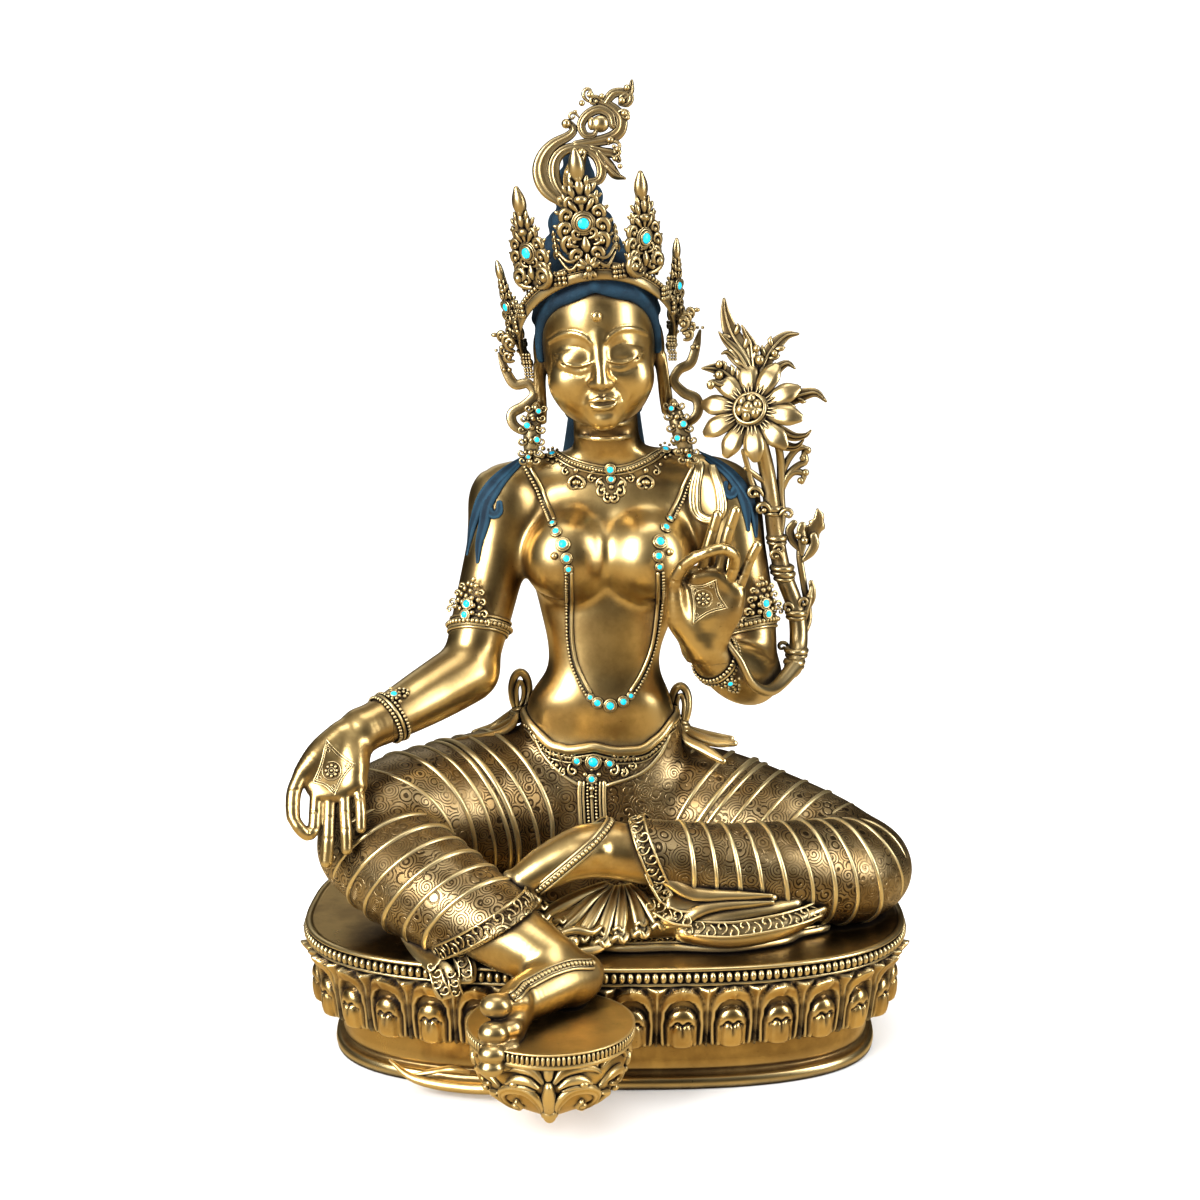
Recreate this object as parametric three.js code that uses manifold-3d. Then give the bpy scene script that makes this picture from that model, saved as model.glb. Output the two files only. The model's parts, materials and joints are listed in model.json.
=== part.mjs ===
// Green Tara seated at royal ease on an oval lotus base, in gilt cast copper alloy.
// Millimetres, +Z up, +X to the viewer's right, the figure faces -Y.
// The origin is the centre of the base's underside. Left and right in names are the figure's own.
import * as THREE from "three";
import { mergeVertices } from "three/addons/utils/BufferGeometryUtils.js";
import Module from "manifold-3d";

const wasm = await Module();
wasm.setup();

// Oval lotus base
const baseHalfLength = 194.5;
const baseHalfDepth = 131.5;
const baseSquareness = 2.8;
const baseHeight = 82;
const flangeHeight = 7;
const flangeInset = 22;
const waistInset = 25.5;
const waistTop = 29;
const baseSides = 36;
const petalCount = 36;
const petalPoints = 3;
const petalRelief = 14;
const petalTop = 69;
const beadRingHeight = 8;
const rimLip = 7;

// Footrest, a small round lotus on a foliate bracket
const footrestRadius = 48;
const footrestDrop = 15.5;
const footrestX = -30.5;
const footrestY = -165;
const footrestRim = 6;
const bracketFoot = 16;
const stemRadius = 4;

// Figure, drawn 515 high from the seat to the tip of its hair ornament
const figureHeight = 515;
const drawnHeight = 515;
const clearance = 0.35;
const stoneSides = 6;
const bandShare = 0.04;

// Colours of the materials
const gilt = { color: 0xb8923f, roughness: 0.32, metalness: 1 };
const agedGilt = { color: 0x9a7a36, roughness: 0.42, metalness: 1 };
const turquoise = { color: 0x14a6cc, roughness: 0.3, metalness: 0 };

const unit = figureHeight / drawnHeight;
const footrestHeight = baseHeight - footrestDrop;
const front = new THREE.Vector3(0, -1, 0);
const upward = new THREE.Vector3(0, 0, 1);

// A point of the figure's drawing, in the part's frame
function at(x, y, z) {
  return new THREE.Vector3(x * unit, y * unit, baseHeight + clearance + z * unit);
}

// A solid from a list of points and triangles, turned so that its faces point out
function solidFrom(points, triangles) {
  const vertProperties = new Float32Array(points.flatMap((p) => [p.x, p.y, p.z]));
  const make = (faces) =>
    new wasm.Manifold(
      new wasm.Mesh({ numProp: 3, vertProperties, triVerts: new Uint32Array(faces.flat()) }),
    );
  const made = make(triangles);
  return made.volume() < 0 ? make(triangles.map(([a, b, c]) => [a, c, b])) : made;
}

// A closed solid through rings of points, each ring with as many points as the first
function loft(rings) {
  const sides = rings[0].length;
  const points = rings.flat();
  const middles = [rings[0], rings[rings.length - 1]].map((ring) =>
    ring.reduce((sum, p) => sum.add(p), new THREE.Vector3()).divideScalar(sides),
  );
  const bottom = points.push(middles[0]) - 1;
  const top = points.push(middles[1]) - 1;
  const last = (rings.length - 1) * sides;
  const triangles = [];
  for (let i = 0; i < sides; i++) {
    const next = (i + 1) % sides;
    triangles.push([bottom, next, i], [top, last + i, last + next]);
    for (let level = 0; level < last; level += sides) {
      triangles.push([level + i, level + next, level + next + sides]);
      triangles.push([level + i, level + next + sides, level + i + sides]);
    }
  }
  return solidFrom(points, triangles);
}

// A ring of points, from a function of the angle
function ring(sides, pointAt, offset = 0) {
  return Array.from({ length: sides }, (_, k) => pointAt(((k + offset) / sides) * 2 * Math.PI));
}

// A solid from one of the stock geometries
function solidOf(geometry) {
  geometry.deleteAttribute("normal");
  geometry.deleteAttribute("uv");
  const merged = mergeVertices(geometry, 1e-4);
  const position = merged.getAttribute("position");
  const points = [];
  for (let i = 0; i < position.count; i++) {
    points.push(new THREE.Vector3().fromBufferAttribute(position, i));
  }
  const index = [...merged.index.array];
  const triangles = [];
  for (let i = 0; i < index.length; i += 3) triangles.push(index.slice(i, i + 3));
  return solidFrom(points, triangles);
}

function join(solids) {
  return solids.reduce((whole, solid) => whole.add(solid));
}

function cut(solid, tools) {
  return tools.reduce((rest, tool) => rest.subtract(tool), solid);
}

function meshOf(name, solid, finish) {
  const { vertProperties, triVerts, numProp } = solid.getMesh();
  const positions = new Float32Array((vertProperties.length / numProp) * 3);
  for (let i = 0; i < positions.length / 3; i++) {
    for (let axis = 0; axis < 3; axis++) {
      positions[i * 3 + axis] = vertProperties[i * numProp + axis];
    }
  }
  const geometry = new THREE.BufferGeometry();
  geometry.setAttribute("position", new THREE.BufferAttribute(positions, 3));
  geometry.setIndex([...triVerts]);
  geometry.computeVertexNormals();
  const mesh = new THREE.Mesh(geometry, new THREE.MeshStandardMaterial(finish));
  mesh.name = name;
  return mesh;
}

// A limb along a smooth curve. A station is a point with its half width and half depth;
// shape(t) is added to both, for folds and joints, and a band is a raised ring worn at [t, height].
function limb(stations, { sides = 7, steps = 6, grow = 0, shape = () => 0, facing = front, bands = [] } = {}) {
  const path = new THREE.CatmullRomCurve3(stations.map(([x, y, z]) => at(x, y, z)));
  const sizes = new THREE.CatmullRomCurve3(
    stations.map(([, , , width, depth = width]) => new THREE.Vector3(width * unit, depth * unit, 0)),
  );
  const places = Array.from({ length: steps + 1 }, (_, i) => [i / steps, shape(i / steps)]);
  for (const [t, height] of bands) {
    places.push([t - bandShare, 0], [t, height], [t + bandShare, 0]);
  }
  places.sort(([a], [b]) => a - b);
  const rings = places.map(([t, extra]) => {
    const centre = path.getPoint(t);
    const along = path.getTangent(t);
    const across = new THREE.Vector3().crossVectors(facing, along).normalize();
    const out = new THREE.Vector3().crossVectors(along, across);
    const size = sizes.getPoint(t).addScalar(extra * unit + grow);
    const end = t === 0 ? -grow : t === 1 ? grow : 0;
    return ring(sides, (angle) =>
      centre
        .clone()
        .addScaledVector(across, Math.cos(angle) * size.x)
        .addScaledVector(out, Math.sin(angle) * size.y)
        .addScaledVector(along, end),
    );
  });
  return loft(rings);
}

function oval(angle, halfWidth, halfDepth, squareness) {
  const bend = (v) => Math.sign(v) * Math.abs(v) ** (2 / squareness);
  return [halfWidth * bend(Math.cos(angle)), halfDepth * bend(Math.sin(angle))];
}

// Level sections: height, centre x, centre y, half width, half depth
function levels(sections, { sides = 12, squareness = 2.3, grow = 0, place = at } = {}) {
  const edge = grow / unit;
  return loft(
    sections.map(([z, cx, cy, width, depth], level) => {
      const end = level === 0 ? -edge : level === sections.length - 1 ? edge : 0;
      const pointAt = (angle) => {
        const [x, y] = oval(angle, width + edge, depth + edge, squareness);
        return place(cx + x, cy + y, z + end);
      };
      return ring(sides, pointAt, 0.5);
    }),
  );
}

// An ellipsoid: its centre and three half sizes
function lump([x, y, z], [width, depth = width, height = width], { detail = 0, grow = 0, frame = null } = {}) {
  const geometry = new THREE.IcosahedronGeometry(1, detail);
  const edge = grow / unit;
  geometry.scale(width + edge, depth + edge, height + edge);
  if (frame) {
    geometry.translate(x, y, z);
    geometry.applyMatrix4(frame);
  } else {
    geometry.scale(unit, unit, unit);
    geometry.translate(...at(x, y, z));
  }
  return solidOf(geometry);
}

// Evenly spaced points of the base's outline, each moved inwards by its inset
const outline = (() => {
  const corners = ring(96, (angle) => {
    const [x, y] = oval(angle, baseHalfLength, baseHalfDepth, baseSquareness);
    return new THREE.Vector3(x, y, 0);
  });
  const curve = new THREE.CatmullRomCurve3(corners, true);
  curve.arcLengthDivisions = 1200;
  return curve;
})();

function outlineRing(count, z, insetOf) {
  return Array.from({ length: count }, (_, k) => {
    const along = outline.getTangentAt(k / count);
    const inward = new THREE.Vector3(-along.y, along.x, 0);
    return outline.getPointAt(k / count).addScaledVector(inward, insetOf(k)).setZ(z);
  });
}

// The base: flange, waist, bead ring and lip, and round them the row of hanging petals
function lotusBase() {
  const profile = [
    [0, flangeInset],
    [flangeHeight, flangeInset],
    [flangeHeight + 3, waistInset],
    [waistTop + 2, waistInset],
    [petalTop, waistInset - 11],
    [petalTop + 3, 1],
    [petalTop + 3 + beadRingHeight, 1],
    [baseHeight, rimLip],
  ];
  const body = profile.map(([z, inset]) => outlineRing(baseSides, z, () => inset));
  // A level of the petals: height, inset, share of the relief
  const span = petalTop - waistTop;
  const band = [
    [waistTop, waistInset - 3, 0.75],
    [waistTop + 0.4 * span, waistInset - 7, 1],
    [petalTop + 1, waistInset - 12, 0.5],
  ];
  const petals = band.map(([z, inset, share]) => {
    const insetOf = (k) => inset - (k % petalPoints === 0 ? 0 : share * petalRelief);
    return outlineRing(petalCount * petalPoints, z, insetOf);
  });
  return loft(body).add(loft(petals));
}

// The footrest: a beaded disc on a tapering bracket of foliage, let into the base's front
function footrest(grow = 0) {
  const disc = [
    [footrestHeight - footrestRim, 0.96],
    [footrestHeight - 2, 1],
    [footrestHeight, 0.96],
  ];
  const plate = disc.map(([z, share], level) =>
    ring(14, (angle) => {
      const r = footrestRadius * share + grow;
      const lift = level === disc.length - 1 ? grow : 0;
      return new THREE.Vector3(footrestX + r * Math.cos(angle), footrestY + r * Math.sin(angle), z + lift);
    }),
  );
  // The bracket's sections: height, half width, front and back, as shares of the radius
  const bracket = [
    [bracketFoot, 0.12, -0.3, 0.4],
    [bracketFoot + 8, 0.7, -0.58, 0.9],
    [bracketFoot + 17, 0.88, -0.84, 1.1],
    [bracketFoot + 30, 0.98, -0.94, 1.1],
    [footrestHeight - footrestRim / 2, 0.84, -0.84, 1.0],
  ];
  const block = bracket.map(([z, width, near, far]) => {
    const middle = footrestY + ((far + near) / 2) * footrestRadius;
    return ring(12, (angle) => {
      const scallop = 1 + 0.05 * Math.cos(6 * angle);
      const x = footrestX + (footrestRadius * width * scallop + grow) * Math.cos(angle);
      const depth = ((far - near) / 2) * footrestRadius * scallop + grow;
      return new THREE.Vector3(x, middle + depth * Math.sin(angle), z);
    });
  });
  return join([loft(plate), loft(block), pondStem(grow)]);
}

// The pond stem that runs along the flange to the footrest
function pondStem(grow) {
  const route = [[-128, -104, 18], [-112, -114, 10], [-80, -122, 8], [-54, -130, 14], [-40, -150, 34]];
  const path = new THREE.CatmullRomCurve3(route.map((point) => new THREE.Vector3(...point)));
  const steps = 6;
  const rings = Array.from({ length: steps + 1 }, (_, i) => {
    const along = path.getTangent(i / steps);
    const across = new THREE.Vector3().crossVectors(upward, along).normalize();
    const out = new THREE.Vector3().crossVectors(along, across);
    const r = stemRadius * (0.75 + (0.5 * i) / steps) + grow;
    return ring(5, (angle) =>
      path
        .getPoint(i / steps)
        .addScaledVector(across, r * Math.cos(angle))
        .addScaledVector(out, r * Math.sin(angle)),
    );
  });
  return loft(rings);
}

// Torso sections from the seat to inside the head
const torsoSections = [
  [0, 0, 36, 62, 46],
  [40, 0, 34, 68, 46],
  [86, -2, 28, 57, 36],
  [99, -2.5, 25, 52, 32],
  [103, -2.5, 25, 54, 35],
  [108, -2.5, 25, 50, 31],
  [130, -3, 19, 45.5, 29],
  [148, -1, 17, 36.5, 25],
  [164, 0, 17, 36.5, 25],
  [186, 2, 19, 43, 27],
  [226, 4.5, 22, 55, 29],
  [254, 5, 25, 61, 26],
  [270, 7, 24, 60, 20],
  [281, 6, 21, 50, 15],
  [290, 3, 17, 23, 17],
  [318, 0, 8, 20, 18],
];
const breastY = -1;
const breastSize = 26;
const breasts = [
  [-22, breastY, 226],
  [27, breastY, 226],
];

function torso(grow) {
  const rounds = breasts.map((place) => lump(place, [breastSize], { detail: 1, grow }));
  return join([levels(torsoSections, { sides: 10, grow }), ...rounds]);
}

// The front of the chest and belly at a given x and z
function chestFront(x, z) {
  const above = torsoSections.findIndex(([level]) => level > z);
  const low = torsoSections[above - 1];
  const high = torsoSections[above];
  const share = (z - low[0]) / (high[0] - low[0]);
  const [, cx, cy, width, depth] = low.map((value, i) => value + (high[i] - value) * share);
  const side = Math.min(0.98, Math.abs(x - cx) / width);
  const flat = cy - depth * (1 - side ** 2.3) ** (1 / 2.3);
  const fronts = breasts.map(([bx, by, bz]) => {
    const rest = breastSize ** 2 - (x - bx) ** 2 - (z - bz) ** 2;
    return rest > 0 ? by - Math.sqrt(rest) : flat;
  });
  return Math.min(flat, ...fronts);
}

// The head's own frame leans a little to the figure's right and looks down; so does the crown's
function leaningFrame(x, y, z, pitch, roll) {
  const turn = new THREE.Euler(THREE.MathUtils.degToRad(pitch), THREE.MathUtils.degToRad(-roll), 0, "YXZ");
  const spin = new THREE.Quaternion().setFromEuler(turn);
  return new THREE.Matrix4().compose(at(x, y, z), spin, new THREE.Vector3(unit, unit, unit));
}

const headFrame = leaningFrame(-3.8, -1, 353, 9, 4.5);
const crownFrame = leaningFrame(-3.8, -1, 352, 9, 7);
const inHead = (x, y, z) => new THREE.Vector3(x, y, z).applyMatrix4(headFrame);

function head(grow) {
  const skull = [
    [-47, 0, -19, 14, 13],
    [-38, 0, -13, 26, 25],
    [-24, 0, -6, 32.5, 32],
    [-4, 0, -1, 35, 37],
    [18, 0, 1, 35, 39],
    [40, 0, 3, 32, 38],
    [54, 0, 5, 24, 28],
  ];
  const feature = (place, size) => lump(place, size, { grow, frame: headFrame });
  const ear = [3.5, 7, 15];
  const lobe = [3, 5, 15];
  return join([
    levels(skull, { sides: 10, squareness: 2.15, grow, place: inHead }),
    feature([0, -38, -13], [4.6, 8.5, 10]),
    feature([0, -37, -28], [9, 5, 3.6]),
    ...[-1, 1].flatMap((side) => [
      feature([side * 14, -29.5, -1], [9, 8.5, 5.5]),
      feature([side * 34.5, 8, -8], ear),
      feature([side * 35.5, 6, -30], lobe),
    ]),
  ]);
}

// The painted hair: a cap above the forehead, its fall behind the neck and the topknot
function hair(grow) {
  const cap = [
    [35, 0, 4.5, 37, 40.5],
    [50, 0, 5, 32.5, 36],
    [62, 0, 6, 22, 26],
    [68, 0, 6, 8, 10],
  ];
  const fall = [
    [-44, 0, 24, 24, 13],
    [-16, 0, 17, 35, 26],
    [14, 0, 13, 38, 31],
    [40, 0, 10, 35, 33],
  ];
  const knot = [
    [396, -12, 14, 22, 20],
    [420, -14, 14, 26.5, 23],
    [440, -16, 14, 23.5, 21],
    [444, -16, 14, 18, 16],
    [458, -17, 14, 16, 14],
    [462, -18, 14, 10.5, 9],
    [476, -18, 14, 7, 6],
  ];
  return join([
    levels(cap, { sides: 10, squareness: 2.15, grow, place: inHead }),
    levels(fall, { sides: 8, squareness: 2.15, grow, place: inHead }),
    levels(knot, { sides: 7, squareness: 2, grow }),
  ]);
}

// The legs, wrapped in cloth whose raised folds are every second ring of a limb
const foldHeight = 2.4;
const legFolds = 8;

function legs(grow) {
  const shape = (t) => (Math.round(t * legFolds) % 2 === 1 ? foldHeight : 0);
  const wrapped = (stations) => limb(stations, { sides: 6, steps: legFolds, shape, grow });
  return join([
    wrapped([[-14, 46, 48, 46], [-56, 32, 56, 49], [-100, 2, 58, 44], [-132, -30, 59, 39], [-148, -50, 50, 27]]),
    wrapped([[-148, -38, 53, 27], [-136, -54, 47, 33], [-112, -78, 37, 33], [-82, -103, 27, 28], [-58, -122, 20, 23]]),
    wrapped([[14, 46, 44, 44], [62, 34, 45, 46], [108, 14, 38, 41], [146, -8, 31, 34], [168, -26, 26, 22]]),
    wrapped([[170, -18, 28, 25], [150, -40, 31, 30], [112, -60, 38, 27.5], [76, -70, 43, 24], [40, -78, 50, 20.5]]),
  ]);
}

// A foot: ankle and sole, and five toes, each given by its root, its direction and its radius
function foot(ankle, sole, toes, grow) {
  const digits = toes.map(([x, y, z, dx, dy, dz, r]) => {
    const reach = (share) => [x + dx * share, y + dy * share, z + dz * share];
    return limb([[...reach(-0.6), r], [...reach(0.9), r * 0.8]], { sides: 4, steps: 1, grow, facing: upward });
  });
  return join([limb(ankle, { steps: 2, grow }), limb(sole, { steps: 3, grow }), ...digits]);
}

function feet(grow) {
  const right = foot(
    [[-62, -119, 21, 22], [-46, -130, 15, 18.5], [-30, -139, 8, 17]],
    [[-14, -140, 0, 12, 12], [-24, -146, 2, 16, 16], [-36, -160, 3, 15, 17], [-48, -172, 1, 12, 16], [-57, -184, -1, 8, 14]],
    [
      [-58, -187, 10, -6, -5, 0, 6.2],
      [-61, -190, 2, -6, -5, -1, 4.8],
      [-62, -193, -4.5, -5, -5, -1, 4.3],
      [-62, -195, -10.5, -5, -5, -1, 3.8],
    ],
    grow,
  );
  const left = foot(
    [[46, -77, 49, 20], [18, -84, 55, 17], [-10, -90, 58, 14]],
    [[4, -86, 62, 12, 12], [-14, -90, 59, 15, 14], [-34, -96, 51, 12, 14], [-50, -101, 43, 8, 11]],
    [
      [-52, -101, 47, -6, -1, -3, 4.6],
      [-53, -104, 42, -5, -1, -3, 4],
      [-52, -106, 37.5, -4, -1, -4, 3.8],
      [-49, -107, 33.5, -4, -1, -4, 3.6],
    ],
    grow,
  );
  return join([right, left]);
}

function arms(grow) {
  const arm = (stations, bands) => limb(stations, { steps: 4, bands, grow });
  const armlet = [[0.76, 2]];
  const bracelet = [[0.78, 2.2]];
  return join([
    arm([[-50, 22, 268, 8], [-62, 21, 254, 22], [-69, 16, 224, 20], [-79, 7, 182, 18.5], [-87, -2, 150, 17]], armlet),
    arm([[-80, 4, 154, 13], [-88, -4, 150, 20], [-108, -20, 140, 18.3], [-130, -40, 130, 15], [-146, -52, 124, 13]], bracelet),
    arm([[62, 22, 272, 8], [75, 21, 256, 22], [83, 15, 224, 20], [90, 5, 182, 18.5], [92, -6, 150, 17]], armlet),
    arm([[94, 0, 153, 13], [92, -8, 149, 19.5], [82, -28, 155, 18], [68, -46, 166, 14.5], [60, -54, 176, 13]], bracelet),
  ]);
}

// A finger through its joints; its radius tapers to the tip
function finger(joints, radius, grow) {
  const last = joints.length - 1;
  const stations = joints.map((joint, i) => [...joint, radius * (1 - (0.35 * i) / last)]);
  return limb(stations, { sides: 4, steps: last, grow, facing: new THREE.Vector3(0.2, -1, 0.3).normalize() });
}

// The right hand lies open on the knee, palm out, thumb and first finger in a ring
function rightHand(grow) {
  const palm = [[-146, -54, 124, 13, 11], [-153, -66, 116, 17, 10], [-160, -78, 104, 20, 9.5], [-161, -84, 91, 18.5, 7.5]];
  return join([
    limb(palm, { steps: 3, grow }),
    finger([[-174, -74, 114], [-186, -82, 100], [-187, -87, 88], [-184, -92, 77]], 5.6, grow),
    finger([[-172, -83, 94], [-174, -87, 78], [-177, -92, 68], [-185, -93, 77]], 4.8, grow),
    finger([[-164, -84, 94], [-165, -88, 76], [-165, -92, 62], [-165, -94, 51]], 5, grow),
    finger([[-155, -84, 95], [-154, -88, 78], [-153, -92, 67], [-153, -94, 58]], 4.8, grow),
    finger([[-147, -82, 98], [-146, -86, 84], [-145, -90, 76], [-144, -91, 69]], 4.4, grow),
  ]);
}

// The left hand is raised, palm out, its ring finger and thumb meeting
function leftHand(grow) {
  const palm = [[59, -55, 177, 13, 11], [59, -59, 188, 17, 11], [61, -62, 204, 21, 9.5], [66, -63, 219, 20, 8]];
  return join([
    limb(palm, { steps: 3, grow }),
    finger([[44, -62, 195], [38, -66, 211], [41, -71, 224], [51, -76, 232]], 5.6, grow),
    finger([[56, -63, 216], [61, -65, 232], [63, -66, 244], [65, -67, 254]], 4.8, grow),
    finger([[66, -63, 218], [70, -65, 234], [73, -66, 247], [76, -67, 257]], 5, grow),
    finger([[73, -64, 216], [78, -71, 229], [71, -77, 236], [60, -78, 235], [52, -77, 232]], 4.6, grow),
    finger([[78, -62, 208], [84, -64, 221], [88, -65, 230], [91, -66, 238]], 4.4, grow),
  ]);
}

// The cloth on the seat under the crossed legs, with its pleated fan and two hems
const clothThickness = 4;
const pleatCount = 3;

function clothOnSeat() {
  const edge = (height) =>
    ring(12, (angle) => {
      const scallop = 1 + 0.05 * Math.cos(6 * angle);
      return at(36 + 96 * scallop * Math.cos(angle), -58 + 44 * scallop * Math.sin(angle), height);
    });
  const pleats = Array.from({ length: pleatCount }, (_, k) => {
    const share = k / (pleatCount - 1);
    const x = -26 + 62 * share;
    const hang = 5 * Math.sin(share * Math.PI);
    return limb([[6, -78, 22, 6], [(6 + x) / 2, -90, 19, 5.5], [x, -100 - hang, 7, 6]], { sides: 4, steps: 2 });
  });
  const hem = (stations) => limb(stations, { sides: 5, steps: 2, facing: upward });
  return join([
    loft([edge(0), edge(clothThickness)]),
    ...pleats,
    hem([[-112, -66, 14, 12, 4], [-96, -86, 9, 15, 4], [-84, -104, 4, 13, 3]]),
    hem([[98, -76, 17, 10, 4], [70, -88, 12, 12, 4], [50, -96, 7, 10, 5]]),
  ]);
}

// The sash's bow at a hip: an upright loop over a knot, with a tail
function bow(side, grow = 0) {
  const x = side < 0 ? -58 : 54;
  const z = side < 0 ? 112 : 107;
  const strip = (stations, steps) => limb(stations, { sides: 4, steps, grow });
  return join([
    strip([[x, 36, z, 4.5], [x - 7, 38, z + 13, 4], [x, 40, z + 24, 4.5], [x + 7, 38, z + 13, 4], [x + 1, 36, z + 1, 4]], 6),
    strip([[x - side * 14, 32, z - 6, 6], [x, 38, z - 4, 8], [x + side * 14, 42, z - 16, 7], [x + side * 32, 46, z - 24, 4]], 4),
  ]);
}

// The jewelled plaques that rise from the armlets
function plaques() {
  return join([lump([-70, -2, 192], [8, 8, 16]), lump([91, -8, 192], [8, 8, 16])]);
}

// The short pendant necklace
function collar() {
  const route = [[-25, 284, 3.5], [-14, 275, 4], [4, 268, 5.5], [22, 275, 4], [33, 284, 3.5]];
  return limb(route.map(([x, z, r]) => [x, chestFront(x, z), z, r]), { sides: 4, steps: 6 });
}

// The belt's clasp and the strip that hangs from it
function clasp() {
  return join([
    lump([-0.5, -9, 96], [16, 6, 7]),
    limb([[-1, -8, 94, 5, 4], [-1, -14, 78, 5, 4], [-1, -24, 62, 7, 4]], { sides: 4, steps: 2 }),
  ]);
}

// A set stone, or with grow the pocket that it sits in
function cabochon({ place, facing, radius }, grow = 0) {
  const up = facing.clone().normalize();
  const across = new THREE.Vector3().crossVectors(up, upward).normalize();
  const over = new THREE.Vector3().crossVectors(up, across);
  const section = (height, r) =>
    ring(stoneSides, (angle) =>
      place
        .clone()
        .addScaledVector(up, height * unit)
        .addScaledVector(across, (r * unit + grow) * Math.cos(angle))
        .addScaledVector(over, (r * unit + grow) * Math.sin(angle)),
    );
  return loft([section(-1.8 - grow, radius), section(2, radius * 0.75)]);
}

// The belt's largest stone
const beltStone = { name: "belt_stone", place: at(-0.5, -14.5, 96), facing: front, radius: 3.6 };

// The crown's band and leaves, in the crown's frame: a band that climbs to the front
const bandHalfWidth = 48;
const bandHalfDepth = 42;
const bandFront = 52;
const bandSide = 12;
const bandSpan = 220;
const bandThickness = 2.4;
const leafTypes = [
  { name: "centre", angle: 0, height: 70, width: 14, tilt: 6, stoneAt: 0.35, radius: 4.2 },
  { name: "side", angle: 41, height: 61, width: 13.5, tilt: 6, stoneAt: 0.36, radius: 3.8 },
  { name: "far", angle: 94, height: 51, width: 10, tilt: 9, stoneAt: 0.44, radius: 2.8 },
];
const leaves = leafTypes.flatMap((leaf) =>
  leaf.angle === 0
    ? [leaf]
    : [
        { ...leaf, name: `${leaf.name}_right`, angle: -leaf.angle },
        { ...leaf, name: `${leaf.name}_left` },
      ],
);
const leafThickness = 4;
const leafEdge = [[0.7, -0.05], [1, 0.16], [1, 0.4], [0.5, 0.64], [0.16, 1]];

function onBand(degrees) {
  const angle = THREE.MathUtils.degToRad(degrees);
  return new THREE.Vector3(
    bandHalfWidth * Math.sin(angle),
    3 - bandHalfDepth * Math.cos(angle),
    bandSide + (bandFront - bandSide) * Math.cos(angle),
  );
}

function leafFrame({ angle, tilt }) {
  const turn = new THREE.Euler(THREE.MathUtils.degToRad(90 + tilt), 0, THREE.MathUtils.degToRad(angle), "ZXY");
  const stand = new THREE.Matrix4().makeRotationFromEuler(turn).setPosition(onBand(angle));
  return crownFrame.clone().multiply(stand);
}

// A leaf is keeled: thin at its scalloped edge, thick along its middle
function crownLeaf(leaf) {
  const frame = leafFrame(leaf);
  const blade = leafEdge.map(([x, y], i) => {
    const keel = leafThickness * (1 - (0.6 * i) / leafEdge.length);
    const corners = [[-x * leaf.width, 0], [0, -keel * 0.6], [x * leaf.width, 0], [0, keel]];
    return corners.map(([across, out]) => new THREE.Vector3(across, y * leaf.height, out).applyMatrix4(frame));
  });
  const boss = new THREE.CylinderGeometry(leaf.radius * 1.6, leaf.radius * 2, leafThickness, stoneSides);
  boss.rotateX(Math.PI / 2);
  boss.translate(0, leaf.height * leaf.stoneAt, leafThickness * 0.75);
  return loft(blade).add(solidOf(boss.applyMatrix4(frame)));
}

function crown() {
  const steps = 8;
  const corners = [[-1, -2], [1, -2], [1, 2], [-1, 2]];
  const hoop = Array.from({ length: steps + 1 }, (_, i) => {
    const place = onBand(bandSpan * (i / steps - 0.5));
    const out = new THREE.Vector3(place.x / bandHalfWidth, (place.y - 3) / bandHalfDepth, 0).normalize();
    return corners.map(([a, b]) =>
      place
        .clone()
        .addScaledVector(out, a * bandThickness)
        .addScaledVector(upward, b * bandThickness)
        .applyMatrix4(crownFrame),
    );
  });
  const sprays = [-1, 1].map((side) => {
    const end = onBand(side * 104);
    return lump([end.x + side * 5, end.y - 3, end.z + 1], [9, 6, 10], { frame: crownFrame });
  });
  return join([loft(hoop), ...leaves.map(crownLeaf), ...sprays]);
}

const crownStones = leaves.map((leaf) => {
  const frame = leafFrame(leaf);
  const place = new THREE.Vector3(0, leaf.height * leaf.stoneAt, leafThickness * 1.25 + 1).applyMatrix4(frame);
  return { name: `crown_stone_${leaf.name}`, place, facing: upward.clone().transformDirection(frame), radius: leaf.radius };
});

// The flame-shaped scroll in front of the topknot, drawn in one upright plane
const scrollY = -8;

function topknotScroll() {
  const volute = (route, root, middle, tip, steps) => {
    const radius = (t) => (t < 0.5 ? root + (middle - root) * 2 * t : middle + (tip - middle) * (2 * t - 1));
    const stations = route.map(([x, z], i) => [x, scrollY, z, radius(i / (route.length - 1))]);
    return limb(stations, { sides: 4, steps });
  };
  return join([
    volute([[-25, 440], [-35, 449], [-39, 459], [-37, 468], [-31, 475], [-22, 480], [-19, 484], [-23, 487]], 3.2, 3.2, 2.4, 5),
    volute([[-24, 444], [-30, 453], [-31, 463], [-27, 470], [-20, 473], [-11, 472], [-4.5, 467.5], [-2, 460], [-4, 454], [-11, 454]], 3.2, 4.2, 4, 6),
    volute([[-18, 475], [-7, 476.5], [3.5, 479], [9, 483.5], [9, 490.5], [4, 496], [-1, 499], [-7, 500.5]], 3, 4.4, 3, 5),
    volute([[4.5, 486], [2, 492.5], [-4, 495.3], [-11, 492], [-14.5, 486], [-12, 481.5], [-7, 482]], 3.4, 3.6, 3, 4),
    volute([[0, 499], [4.5, 504.5], [10.5, 505], [15, 503], [13, 498.5], [8, 499.5]], 3.4, 3.6, 2.6, 3),
    volute([[11, 503], [15.5, 506], [15, 512]], 3, 2.6, 1.2, 1),
    volute([[-4, 470], [2, 462], [9.5, 455]], 3, 4, 1.2, 2),
    volute([[-8, 473], [-1, 470], [6, 469]], 3, 4, 4, 2),
    lump([-3, scrollY, 487], [7, 4, 7]),
  ]);
}

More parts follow.
